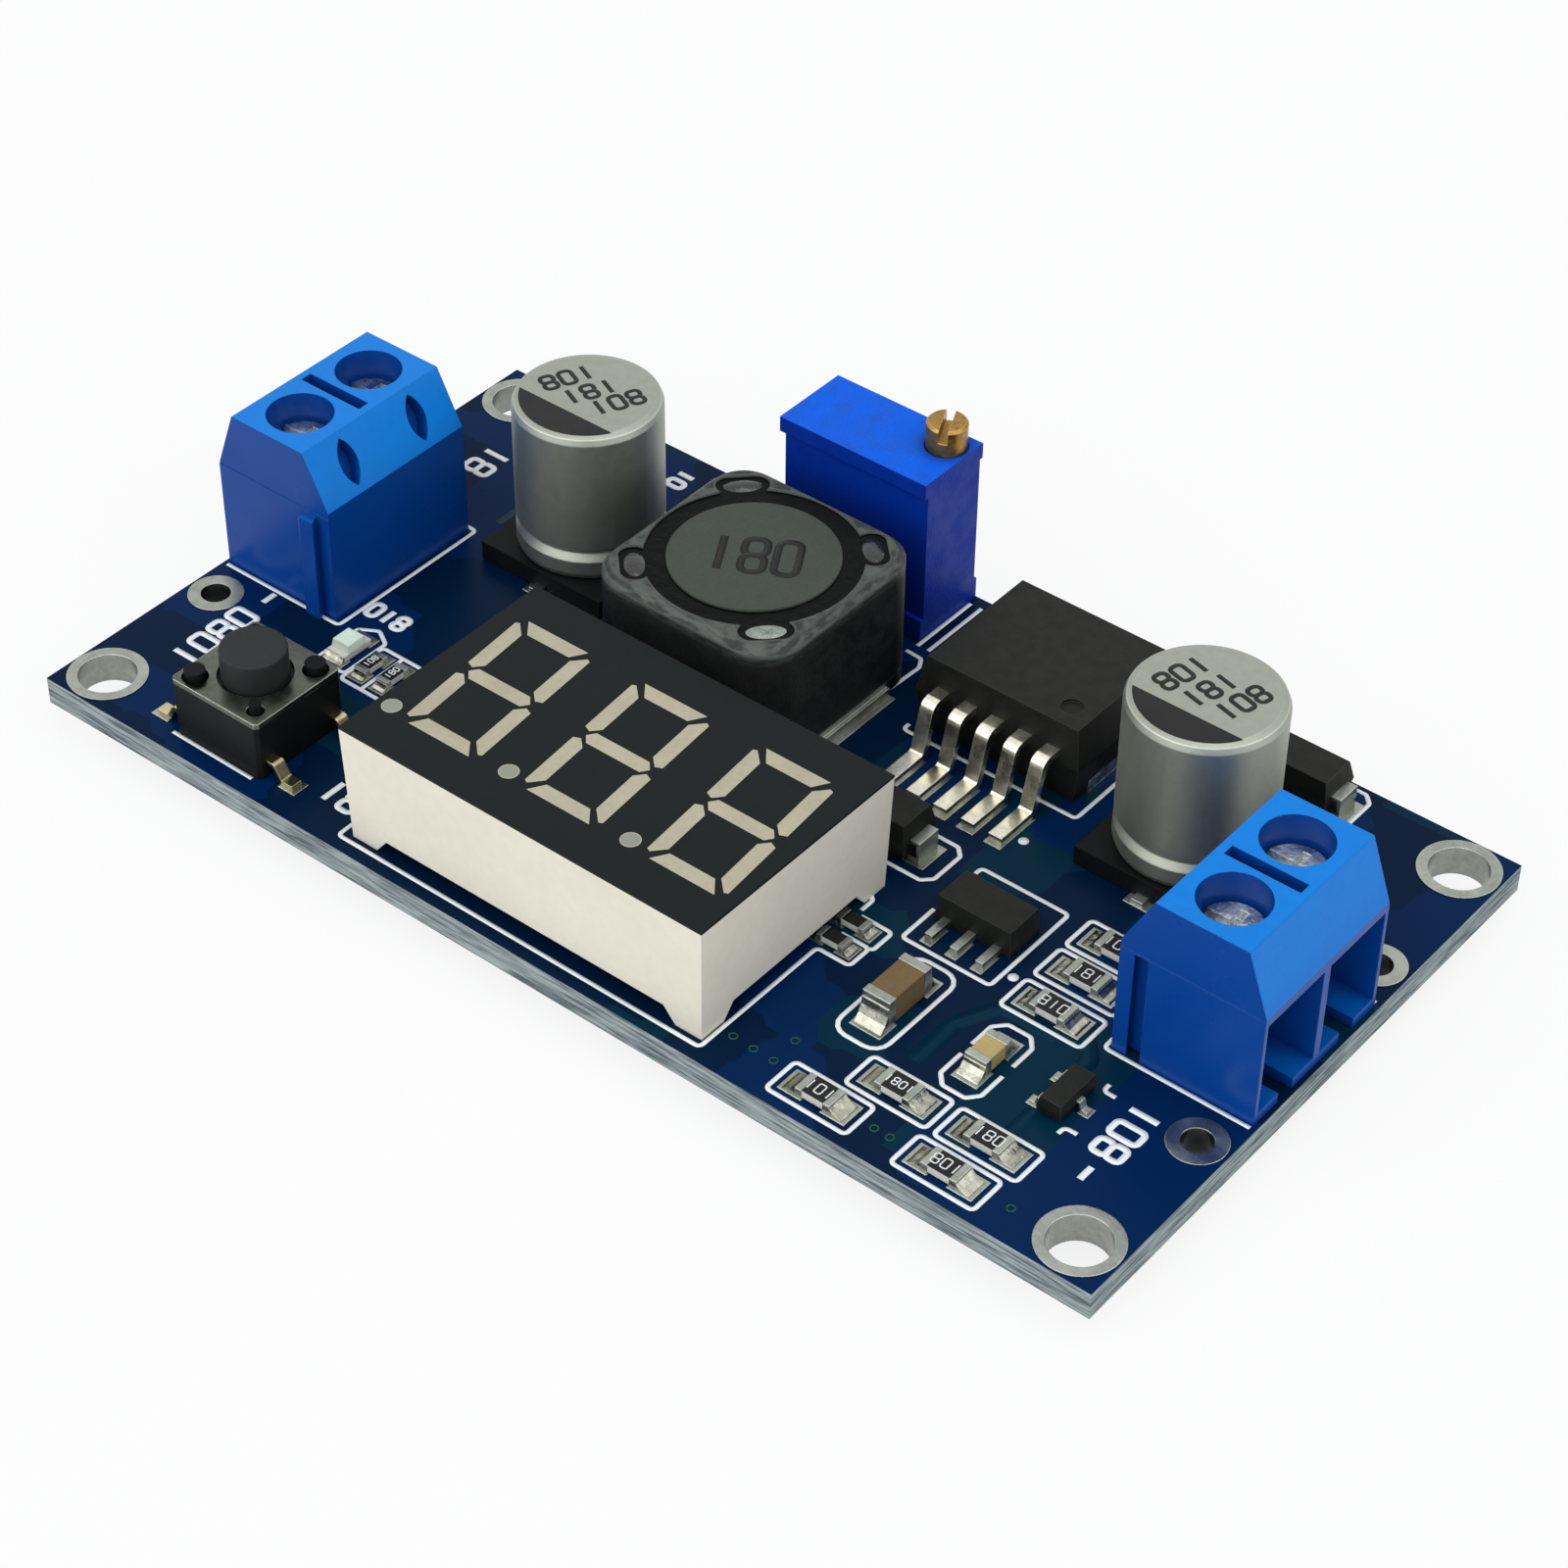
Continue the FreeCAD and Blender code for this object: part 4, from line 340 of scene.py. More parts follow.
def paint_light_from_above(material, painted_side_shade):
    """Mixes painted light on the faces that look up with painted shade on the faces that look sideways, lie
    low or are shut in.
    """
    tree, shader, place = parts_of(material)
    normal = step(tree, "ShaderNodeNewGeometry").outputs["Normal"]
    upward = step(tree, "ShaderNodeSeparateXYZ", {0: normal}).outputs["Z"]
    height = step(tree, "ShaderNodeSeparateXYZ", {0: place}).outputs["Z"]
    reach = spread_over(tree, height, BOARD_TOP + PAINTED_LIGHT_START, BOARD_TOP + PAINTED_LIGHT_FULL, PAINTED_LIGHT_LEAST, 1.0)
    # glow is the share of painted light: full on open upward faces high up, giving way to painted shade.
    glow = math_of(tree, "MULTIPLY", spread_over(tree, upward, SIDEWAYS, UPWARD), reach)
    glow = math_of(tree, "MULTIPLY", glow, open_air(tree, SLIT_REACH, SLIT_SHUT, SLIT_OPEN))
    top = feeding(shader.inputs["Base Color"])
    tree.links.new(mixed(tree, glow, painted_side_shade, top), shader.inputs["Base Color"])


def paint_hole_shade(material, shade):
    """Paints shade on a finish deep inside narrow holes."""
    tree, shader, _ = parts_of(material)
    bare = feeding(shader.inputs["Base Color"])
    free = open_air(tree, HOLE_REACH, HOLE_SHUT, HOLE_OPEN)
    tree.links.new(mixed(tree, free, shade, bare), shader.inputs["Base Color"])


TIN = srgb(158, 163, 154)
TIN_EDGE_WEAR_AND_HIGHLIGHT = srgb(205, 210, 202)

# The blue plastics take painted light on their tops and painted shade on their sides, low parts and slits.
paint_light_from_above(
    surface("terminal_plastic", srgb(4, 126, 220), 0.32, grain=0.5 * MM, spread=0.05, gloss=0.06,
            bump=0.003 * MM, edge=0.1 * MM, specular=0.16), painted_side_shade=srgb(4, 66, 150))
paint_light_from_above(
    surface("trimmer_plastic", srgb(2, 94, 224), 0.45, grain=0.14 * MM, spread=0.14, gloss=0.1,
            bump=0.02 * MM, specular=0.12), painted_side_shade=srgb(2, 46, 150))
# The plated barrels take painted shade deep inside the holes.
paint_hole_shade(
    metal("barrel_tin", TIN, 0.34, grain=0.3 * MM, spread=0.2, gloss=0.12, bump=0.008 * MM,
          wear=TIN_EDGE_WEAR_AND_HIGHLIGHT), shade=srgb(26, 30, 30))
print("blue plastics and plated holes ready")

# %% [markdown]
# The inductor's shield is matt black, but glue that was wiped over its rim dried there in glossy waves and
# left a grey film. A noise with a hard step splits the rim into glossy and matt areas.

# %% Ferrite with dried glue
SHIELD_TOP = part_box("inductor_shield")[1].z
FILM_DEPTH = 1.1 * MM
FILM_GREY = srgb(80, 86, 82)
FILM_LEAST = 0.25
FILM_ROUGHNESS = 0.25
FILM_THICKNESS = 0.03 * MM
FILM_STRENGTH = 0.5
WAVE_SIZE = 0.6 * MM
WAVE_STRETCH = (1.6, 1.6, 0.4)
WAVE_DETAIL = 2.0
HARD_STEP = (0.47, 0.53)
SOFT_STEP = (0.42, 0.58)


def glued(material):
    """Gives a finish wavy patches of dried glue near the top of the shield."""
    tree, shader, place = parts_of(material)
    height = step(tree, "ShaderNodeSeparateXYZ", {0: place}).outputs["Z"]
    waves = clouds(tree, place, WAVE_SIZE, detail=WAVE_DETAIL, stretch=WAVE_STRETCH)
    high = spread_over(tree, height, SHIELD_TOP - FILM_DEPTH, SHIELD_TOP - FILM_DEPTH / 4)
    patch = math_of(tree, "MULTIPLY", spread_over(tree, waves, *HARD_STEP), high)
    greyer = math_of(tree, "MULTIPLY", spread_over(tree, waves, *SOFT_STEP, FILM_LEAST, 1.0), high)
    smeared = mixed(tree, greyer, feeding(shader.inputs["Base Color"]), FILM_GREY)
    tree.links.new(smeared, shader.inputs["Base Color"])
    matt = feeding(shader.inputs["Roughness"])
    shine = step(tree, "ShaderNodeMix", {0: patch, 2: matt, 3: FILM_ROUGHNESS}).outputs[0]
    tree.links.new(shine, shader.inputs["Roughness"])
    bulge = {"Height": patch, "Distance": FILM_THICKNESS, "Strength": FILM_STRENGTH,
             "Normal": feeding(shader.inputs["Normal"])}
    tree.links.new(step(tree, "ShaderNodeBump", bulge).outputs[0], shader.inputs["Normal"])


glued(surface("shield_ferrite", srgb(20, 22, 22), 0.5, grain=0.12 * MM, spread=0.25, bump=0.01 * MM,
              edge=0.28 * MM, specular=0.25, wear=srgb(108, 114, 110)))
surface("black_epoxy", srgb(5, 7, 6), 0.32, grain=0.5 * MM, spread=0.3, bump=0.05 * MM, edge=0.1 * MM,
        specular=0.06)
wet_glue = surface("wet_glue", srgb(20, 23, 21), 0.12, grain=0.2 * MM, spread=0.9, gloss=0.05,
                   bump=0.03 * MM, edge=0.05 * MM, specular=0.7)
# A painted highlight: the front drop's wet gloss is painted as a pale colour.
painted_highlight_glue = surface("painted_highlight_glue", srgb(128, 138, 131), 0.2, grain=0.12 * MM, spread=0.6, gloss=0.05,
                    bump=0.002 * MM, edge=0.05 * MM, specular=0.9)
print("ferrite and glue ready")

# %% [markdown]
# The display's segments are cream coloured, and the round points beside them are greyer. They are solids of
# one node, so the points are found by their round outline, and the finish changes near their middles.

# %% The display's segments
POINT_REACH = 0.82 * MM
POINT_GREY = srgb(148, 150, 138)
ROUND_WITHIN = 0.1 * MM
points = [box for box in solids_of("display_segments")
          if abs(size_of(box).x - size_of(box).y) < ROUND_WITHIN]


def with_grey_points(material):
    """Gives a finish another colour on the round points of the display."""
    tree, shader, place = parts_of(material)
    on_point = 0.0
    for box in points:
        away = step(tree, "ShaderNodeVectorMath", {0: place, 1: middle(box)}, operation="DISTANCE")
        near = math_of(tree, "LESS_THAN", away.outputs["Value"], POINT_REACH)
        on_point = math_of(tree, "ADD", on_point, near)
    cream = feeding(shader.inputs["Base Color"])
    tree.links.new(mixed(tree, on_point, cream, POINT_GREY), shader.inputs["Base Color"])


with_grey_points(
    surface("segment_resin", srgb(180, 175, 152), 0.4, grain=0.3 * MM, spread=0.08, edge=0.05 * MM,
            specular=0.2, wear=srgb(214, 210, 190)))
print("points of the display", len(points))

# %% [markdown]
# The remaining finishes differ only in their numbers. Metals show the white surroundings tinted by their
# own colour, so their roughness and mottling carry most of the look.

# %% All the finishes
metal("tinned_copper", TIN, 0.34, grain=0.3 * MM, spread=0.2, gloss=0.12, bump=0.008 * MM,
      wear=TIN_EDGE_WEAR_AND_HIGHLIGHT)
metal("solder", srgb(168, 168, 154), 0.2, grain=0.4 * MM, spread=0.5, gloss=0.1, bump=0.03 * MM)
metal("zinc_plated_steel", srgb(140, 148, 154), 0.36, grain=0.3 * MM, spread=0.2, gloss=0.12,
      bump=0.006 * MM, edge=0.06 * MM)
# The can's lighter rim edge is a painted highlight.
metal("aluminium_can", srgb(158, 162, 152), 0.5, grain=0.06 * MM, spread=0.05, gloss=0.01,
      bump=0.003 * MM, edge=0.12 * MM, wear=srgb(226, 229, 222))
metal("enamelled_copper", srgb(176, 92, 48), 0.3, spread=0.2)
metal("brass", srgb(156, 122, 64), 0.32, grain=0.3 * MM, spread=0.34, gloss=0.14, bump=0.02 * MM,
      wear=srgb(206, 178, 120))
metal("stamped_steel", srgb(98, 102, 93), 0.3, grain=0.35 * MM, spread=0.24, gloss=0.12,
      bump=0.006 * MM, edge=0.07 * MM, wear=srgb(206, 208, 196))
surface("display_white_plastic", srgb(226, 221, 205), 0.5, grain=0.6 * MM, spread=0.04,
        bump=0.003 * MM, specular=0.2, wear=srgb(236, 233, 222))
surface("display_black_film", srgb(21, 25, 26), 0.42, grain=0.15 * MM, bump=0.002 * MM,
        edge=0.04 * MM, specular=0.1)
surface("fibreglass", srgb(150, 146, 104), 0.6, grain=0.3 * MM, spread=0.2)
surface("black_plastic", srgb(17, 19, 20), 0.5, spread=0.2, bump=0.008 * MM, specular=0.1)
surface("core_ferrite", srgb(62, 70, 62), 0.5, grain=0.2 * MM, spread=0.14, bump=0.008 * MM,
        edge=0.12 * MM, specular=0.2)
surface("chip_plastic", srgb(20, 22, 18), 0.55, grain=0.1 * MM, spread=0.16, bump=0.008 * MM,
        edge=0.07 * MM, specular=0.2, wear=srgb(60, 64, 58))
surface("plunger_plastic", srgb(34, 39, 39), 0.5, spread=0.15, specular=0.22)
surface("alumina", srgb(214, 213, 205), 0.6, spread=0.06, specular=0.3)
surface("resistor_glass", srgb(14, 15, 14), 0.25, spread=0.2, specular=0.25)
surface("brown_ceramic", srgb(112, 92, 60), 0.45, spread=0.1, specular=0.25)
surface("tan_ceramic", srgb(182, 162, 106), 0.5, spread=0.1, specular=0.25)
surface("lamp_resin", srgb(226, 246, 228), 0.15, spread=0.06, specular=0.6)
print("finishes", len(finishes))

# %% [markdown]
# Some pieces share a slot with others but look different in the photograph: the clamp screws are brighter
# than their cages, the plated holes get painted shade inside, the button's legs are brassy and the
# regulator's leads are warm and clean. They get a finish of their own, by name.

# %% Finishes for single pieces, and the painting
metal("bright_zinc", srgb(214, 220, 222), 0.3, grain=0.2 * MM, spread=0.4, gloss=0.14, bump=0.035 * MM,
      wear=srgb(240, 242, 240))
metal("brassy_tin", srgb(196, 184, 144), 0.32, grain=0.3 * MM, spread=0.25, gloss=0.12)
metal("warm_tin", srgb(236, 232, 214), 0.26, grain=0.3 * MM, spread=0.14, gloss=0.1)
own_finish = {
    "hole_plating": "barrel_tin",
    "button_terminals": "brassy_tin",
    "regulator_leadframe": "warm_tin",
    **{end + "_screw_" + side: "bright_zinc" for end in ("input", "output") for side in ("front", "back")},
}
slot_of = {entry["node"]: entry["material_slot"] for entry in frame["record"]["subparts"]}
for name, item in nodes.items():
    item.data.materials.clear()
    item.data.materials.append(finishes[own_finish.get(name, slot_of[name])])
print("pieces with a finish of their own", len(own_finish))

# %% [markdown]
# Ink is a finish as well: matt white on the board and the resistors, black on the cans and the inductor.
# Copper tracks and small plated holes under the mask take a shade close to the mask's own, so that they
# only just show.

# %% Inks and what lies under the mask
WHITE_INK = surface("white_ink", srgb(238, 243, 244), 0.55, grain=0.2 * MM, spread=0.04, edge=0.01 * MM,
                    specular=0.3)
BLACK_INK = surface("black_ink", srgb(17, 18, 17), 0.45, grain=0.2 * MM, spread=0.2, edge=0.01 * MM,
                    specular=0.25)
FAINT_MASK = surface("trace_mask", srgb(0, 44, 64), 0.34, spread=0.1, edge=0.001 * MM, specular=0.05)
VIA_MASK = surface("via_mask", srgb(14, 74, 60), 0.3, spread=0.2, edge=0.01 * MM, specular=0.2)
print("inks ready")

# %% [markdown]
# Printing is drawn with Geometry Nodes. A seed mesh holds only bare edges, one chain for each stroke of
# ink. The node tree turns the chains into curves, rounds their corners and sweeps a flat strip along
# them. The result is baked to a plain mesh, so that it is one solid piece of ink.

# %% Growing pieces from seeds
def seed_mesh(name, lines):
    """A mesh of bare edges, one chain for each line, closed where a line ends where it began."""
    points, edges = [], []
    for line in lines:
        closed = line[0] == line[-1]
        kept = line[:-1] if closed else line
        first, last = len(points), len(points) + len(kept) - 1
        points.extend(kept)
        edges.extend((index, index + 1) for index in range(first, last))
        if closed:
            edges.append((last, first))
    mesh = bpy.data.meshes.new(name)
    mesh.from_pydata(points, edges, [])
    return mesh


def new_tree(name, sockets):
    """A node tree with named inputs, and its input and output nodes."""
    tree = bpy.data.node_groups.new(name, "GeometryNodeTree")
    tree.interface.new_socket("Geometry", in_out="INPUT", socket_type="NodeSocketGeometry")
    for label, kind in sockets.items():
        tree.interface.new_socket(label, in_out="INPUT", socket_type="NodeSocket" + kind)
    tree.interface.new_socket("Geometry", in_out="OUTPUT", socket_type="NodeSocketGeometry")
    return tree, tree.nodes.new("NodeGroupInput").outputs, tree.nodes.new("NodeGroupOutput").inputs


def finished(tree, geometry, ways_in, way_out):
    """The end of every tree: real geometry, with its finish on it."""
    real = step(tree, "GeometryNodeRealizeInstances", {"Geometry": geometry}).outputs[0]
    painted = {"Geometry": real, "Material": ways_in["Finish"]}
    tree.links.new(step(tree, "GeometryNodeSetMaterial", painted).outputs[0], way_out["Geometry"])
    return tree


def grow(name, seed, tree, values):
    """Makes the piece that a tree grows from a seed, baked to a mesh and riding on the board."""
    piece = bpy.data.objects.new(name, seed)
    bpy.context.collection.objects.link(piece)
    modifier = piece.modifiers.new("grow", "NODES")
    modifier.node_group = tree
    names = {entry.name: entry.identifier for entry in tree.interface.items_tree
             if entry.in_out == "INPUT"}
    for label, value in values.items():
        modifier[names[label]] = value
    shown = piece.evaluated_get(bpy.context.evaluated_depsgraph_get())
    baked = bpy.data.meshes.new_from_object(shown)
    piece.modifiers.remove(modifier)
    piece.data = baked
    baked.name = name
    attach(piece, "board")
    print(name, "faces", len(baked.polygons))


def strip_tree():
    """Flat strips along the seed's lines, as ink or copper lies on a board."""
    tree, ways_in, way_out = new_tree("printed_strips", {
        "Line Width": "Float", "Line Thickness": "Float", "Corner Radius": "Float",
        "Finish": "Material"})
    curve = step(tree, "GeometryNodeMeshToCurve", {"Mesh": ways_in["Geometry"]}).outputs[0]
    bends = {"Curve": curve, "Radius": ways_in["Corner Radius"], "Count": 4, "Limit Radius": True}
    round_curve = step(tree, "GeometryNodeFilletCurve", bends, mode="POLY").outputs[0]
    level = step(tree, "GeometryNodeSetCurveNormal", {"Curve": round_curve}, mode="Z_UP").outputs[0]
    sides = {"Width": ways_in["Line Width"], "Height": ways_in["Line Thickness"]}
    profile = step(tree, "GeometryNodeCurvePrimitiveQuadrilateral", sides).outputs[0]
    swept = {"Curve": level, "Profile Curve": profile, "Fill Caps": True}
    strip = step(tree, "GeometryNodeCurveToMesh", swept).outputs[0]
    return finished(tree, strip, ways_in, way_out)


STRIPS = strip_tree()
INK_THICKNESS = 0.02 * MM
DEPTHS = 4
DEPTH_STEP = 0.12


def print_lines(name, lines, width, finish, corner=0.0, thickness=INK_THICKNESS):
    """Makes one piece of ink or copper that follows lines on a flat face.

    Neighbouring strips sink into the face by slightly different depths, so that where two of them
    cross, one of their tops is clearly the higher.
    """
    raised = []
    for index, line in enumerate(lines):
        lift = thickness * (0.5 - DEPTH_STEP * (index % DEPTHS))
        raised.append([Vector(point) + Vector((0, 0, lift)) for point in line])
    values = {"Line Width": width, "Line Thickness": thickness, "Corner Radius": corner,
              "Finish": finish}
    grow(name, seed_mesh(name, raised), STRIPS, values)


print("the printing tree is ready")

# %% [markdown]
# The white print round each part shows the assembler where it goes. All of it is made of a few kinds of
# lines: through given places, round a circle, or round a piece.

# %% Lines on the board
SILK_WIDTH = 0.24 * MM
SILK_CORNER = 0.25 * MM
RESISTOR_BOX = (4.65, 2.2)
WIDE_RESISTOR = 1.8 * MM


def path(*places):
    """A line through places on the board, each as x and y in millimetres."""
    return [at(x, y) for x, y in places]


def circle(x, y, radius, count=10):
    """A closed circle on the board, in millimetres."""
    turns = [math.radians(360 * index / count) for index in range(count + 1)]
    return path(*[(x + radius * math.cos(turn), y + radius * math.sin(turn)) for turn in turns])


def around(box, length, width):
    """A closed rectangle centred on a box."""
    centre = middle(box)
    half = Vector((length, width, 0)) * MM / 2
    corners = ((-1, -1), (1, -1), (1, 1), (-1, 1), (-1, -1))
    return [Vector((centre.x + sx * half.x, centre.y + sy * half.y, BOARD_TOP)) for sx, sy in corners]


print("a resistor's box is", RESISTOR_BOX, "mm")

# %% [markdown]
# The boxes round the chip resistors are worked out from the resistors themselves, so they fit them exactly.
# The other outlines are measured on the photograph.

# %% The white outlines
SILK_PATHS = (
    # the two screw terminals
    ((65.7, 12.72), (57.6, 12.72), (57.6, 23.28), (65.7, 23.28)),
    ((0.3, 12.7), (8.5, 12.7), (8.5, 23.3), (0.3, 23.3)),
    # the display, with the two small resistors beside it
    ((43.15, 12.9), (43.15, 13.8), (42.5, 14.3), (42.5, 15.6), (20.0, 15.6), (20.0, 0.8),
     (43.15, 0.8), (43.15, 9.48), (45.12, 9.48), (45.12, 11.02), (43.4, 11.02)),
    ((45.12, 11.02), (45.3, 11.02), (45.3, 12.57), (43.4, 12.57)),
    # the trimmer, the inductor and the regulator
    ((32.85, 30.7), (32.85, 35.3)),
    ((33.55, 30.7), (33.55, 35.3)),
    ((32.62, 30.02), (33.67, 29.96), (34.02, 29.32), (33.89, 26.92)),
    ((36.4, 25.4), (36.4, 24.9), (47.2, 24.9), (47.2, 28.6)),
    # the push button, the lamp and its two resistors
    ((8.1, 1.15), (13.75, 1.1)),
    ((9.5, 10.0), (11.5, 10.0), (11.5, 13.1), (10.5, 13.7), (9.5, 13.1), (9.5, 10.0)),
    ((11.6, 9.6), (14.5, 9.6), (14.5, 12.8), (11.6, 12.8), (11.6, 9.6)),
    ((13.05, 9.6), (13.05, 12.8)),
    # the supply chip, the transistor and the small capacitor
    ((45.8, 15.2), (45.8, 12.65), (51.05, 12.65), (51.05, 19.0), (45.8, 19.0), (45.8, 18.5)),
    ((59.2, 10.9), (59.2, 10.4), (59.9, 10.4)),
    ((59.2, 6.9), (59.2, 7.4), (59.9, 7.4)),
    ((52.75, 8.2), (52.75, 6.6), (53.3, 6.0), (54.6, 6.0), (55.1, 6.6), (55.1, 8.2)),
    ((52.75, 9.0), (52.75, 10.5), (53.3, 11.1), (54.6, 11.1), (55.1, 10.5), (55.1, 9.0)),
    # the two diodes
    ((36.7, 16.9), (37.2, 16.4), (44.0, 16.4), (44.5, 16.9), (44.5, 19.0), (44.0, 19.5),
     (37.2, 19.5), (36.7, 19.0), (36.7, 16.9)),
    ((51.4, 32.5), (51.9, 32.0), (57.3, 32.0), (57.8, 32.5), (57.8, 35.1), (57.3, 35.6),
     (51.9, 35.6), (51.4, 35.1), (51.4, 32.5)),
)
CAPACITOR_BOX = ((46.95, 5.7), (49.8, 5.7), (49.8, 12.1), (46.95, 12.1), (46.95, 5.7))
CAPACITOR_BOX_CORNER = 0.9 * MM
DOTS = ((46.2, 21.9), (51.57, 13.8))
DOT_RADIUS = 0.14

wide_resistors = [box for box in solids_of("resistor_bodies") if size_of(box).x > WIDE_RESISTOR]
silk_lines = [around(box, *RESISTOR_BOX) for box in wide_resistors]
silk_lines += [path(*places) for places in SILK_PATHS]
print_lines("silkscreen", silk_lines, SILK_WIDTH, WHITE_INK, corner=SILK_CORNER)
print_lines("capacitor_box", [path(*CAPACITOR_BOX)], SILK_WIDTH, WHITE_INK,
            corner=CAPACITOR_BOX_CORNER)
dots = [circle(x, y, DOT_RADIUS) for x, y in DOTS]
print_lines("silkscreen_dots", dots, 2 * DOT_RADIUS * MM, WHITE_INK)

# %% [markdown]
# Numbers are strokes too. Each sign is drawn on a cell 0.6 wide and 1 high, and then scaled, turned and set
# in its place. Only signs that look the same when mirrored are used.

# %% Signs on the board
STROKES = {
    "0": [((0.0, 0.0), (0.6, 0.0), (0.6, 1.0), (0.0, 1.0), (0.0, 0.0))],
    "1": [((0.3, 0.0), (0.3, 1.0))],
    "8": [((0.0, 0.0), (0.6, 0.0), (0.6, 0.5), (0.0, 0.5), (0.0, 0.0)),
          ((0.0, 0.5), (0.6, 0.5), (0.6, 1.0), (0.0, 1.0), (0.0, 0.5))],
    "+": [((0.0, 0.5), (0.6, 0.5)), ((0.3, 0.2), (0.3, 0.8))],
    "-": [((0.0, 0.5), (0.6, 0.5))],
}
SIGN_WIDTH = 0.6
SIGN_STEP = 0.88
SIGN_STROKE = 0.34 * MM
BOARD_SIGNS = (
    ("1080", (4.15, 7.9), 1.55, 90), ("018", (10.0, 14.85), 1.05, 0), ("18", (18.2, 3.0), 1.5, 0),
    ("801", (61.6, 8.9), 1.55, 90), ("01", (14.0, 33.9), 1.0, 90), ("81", (4.7, 28.4), 1.6, 90),
    ("+", (4.7, 31.3), 1.6, 90), ("-", (61.6, 5.7), 1.55, 90), ("-", (4.1, 12.0), 1.5, 90),
)


def sign_lines(text, place, height, turn=0.0, narrow=1.0):
    """The strokes of a row of signs that is centred on a place, so high, and turned by degrees."""
    lines = []
    width = (len(text) - 1) * SIGN_STEP + SIGN_WIDTH
    row_turn = Matrix.Rotation(math.radians(turn), 3, "Z")
    for index, sign in enumerate(text):
        for stroke in STROKES[sign]:
            flat = [Vector(((x + index * SIGN_STEP - width / 2) * narrow, y - 0.5, 0)) for x, y in stroke]
            lines.append([place + row_turn @ point * height for point in flat])
    return lines


board_signs = [line for signs, (x, y), height, turn in BOARD_SIGNS
               for line in sign_lines(signs, at(x, y), height * MM, turn)]
print_lines("board_signs", board_signs, SIGN_STROKE, WHITE_INK, corner=SILK_CORNER)

# %% [markdown]
# Each chip resistor carries a code, which is centred on its black coating. A longer code is smaller. The two
# resistors beside the lamp are the small ones at the left end of the board that lie lengthwise to the back.

# %% Codes on the resistors, and the inductor's number
RESISTOR_CODES = ("101", "1801", "810", "181", "108", "801", "180")
CODE_HEIGHT = 0.62 * MM
CODE_STROKE = 0.07 * MM
CODE_CORNER = 0.1 * MM
CODE_THICKNESS = 0.01 * MM
USUAL_LENGTH = 3
LAMP_CODES = ("108", "180")
LAMP_CODE_HEIGHT = 0.36 * MM
WIDE_COATING = 1.1 * MM
CORE_SIGN_HEIGHT = 2.7 * MM
CORE_SIGN_TURN = 30
CORE_SIGN_NARROW = 0.72
CORE_STROKE = 0.4 * MM
CORE_CORNER = 0.45 * MM

coatings = solids_of("resistor_coatings")
wide = [box for box in coatings if size_of(box).x > WIDE_COATING]
beside_lamp = [box for box in coatings if size_of(box).y > size_of(box).x and box[1].x < 0]
codes = []
for code, box in zip(RESISTOR_CODES, wide):
    codes += sign_lines(code, top_of(box), CODE_HEIGHT * USUAL_LENGTH / len(code))
for code, box in zip(LAMP_CODES, beside_lamp):
    codes += sign_lines(code, top_of(box), LAMP_CODE_HEIGHT, 90)
print_lines("resistor_signs", codes, CODE_STROKE, WHITE_INK, corner=CODE_CORNER,
            thickness=CODE_THICKNESS)

core_sign = sign_lines("180", top_of(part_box("inductor_core")), CORE_SIGN_HEIGHT, CORE_SIGN_TURN,
                       CORE_SIGN_NARROW)
print_lines("inductor_sign", core_sign, CORE_STROKE, BLACK_INK, corner=CORE_CORNER)

# %% [markdown]
# Each can has a dark field over the front part of its top, which marks the negative side, and three rows
# of signs that fill the bright rest. No two cans are stamped at quite the same angle.

# %% Prints on the cans
PRINT_RADIUS = 3.6 * MM
FIELD_CHORD = 1.75 * MM
CAN_ROWS = (("801", (-1.85, 0.5)), ("181", (-0.12, 0.3)), ("108", (1.62, 0.5)))
CAN_SIGN_HEIGHT = 1.18 * MM
CAN_STROKE = 0.24 * MM
CAN_TURNS = {"input": 76, "output": 66}
FIELD_SIDES = 32


def dark_field(name, place):
    """Makes a thin segment of a disc, on the side of the place that faces the front edge."""
    reach = math.acos(FIELD_CHORD / PRINT_RADIUS)
    turns = [-math.pi / 2 - reach + 2 * reach * index / FIELD_SIDES for index in range(FIELD_SIDES + 1)]
    rim = [place + Vector((math.cos(turn), math.sin(turn), 0)) * PRINT_RADIUS for turn in turns]
    mesh = bmesh.new()
    face = mesh.faces.new([mesh.verts.new(point) for point in rim])
    lifted = bmesh.ops.extrude_face_region(mesh, geom=[face])["geom"]
    raised = [item for item in lifted if isinstance(item, bmesh.types.BMVert)]
    bmesh.ops.translate(mesh, verts=raised, vec=(0, 0, INK_THICKNESS))
    bmesh.ops.recalc_face_normals(mesh, faces=mesh.faces)
    data = bpy.data.meshes.new(name)
    mesh.to_mesh(data)
    mesh.free()
    data.materials.append(BLACK_INK)
    piece = bpy.data.objects.new(name, data)
    bpy.context.collection.objects.link(piece)
    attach(piece, "board")


for end, turn in CAN_TURNS.items():
    can_top = top_of(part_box(end + "_capacitor_can"))
    dark_field(end + "_can_field", can_top)
    can_signs = [line for signs, (x, y) in CAN_ROWS
                 for line in sign_lines(signs, can_top + Vector((x, y, 0)) * MM, CAN_SIGN_HEIGHT, turn)]
    print_lines(end + "_can_signs", can_signs, CAN_STROKE, BLACK_INK, corner=SILK_CORNER)

# %% [markdown]
# Under the mask the copper runs in broad tracks, and small plated holes join its two layers. The tracks
# are the same printed strips in the mask's own teal. The holes are one small ring, placed on every point
# of a seed mesh.

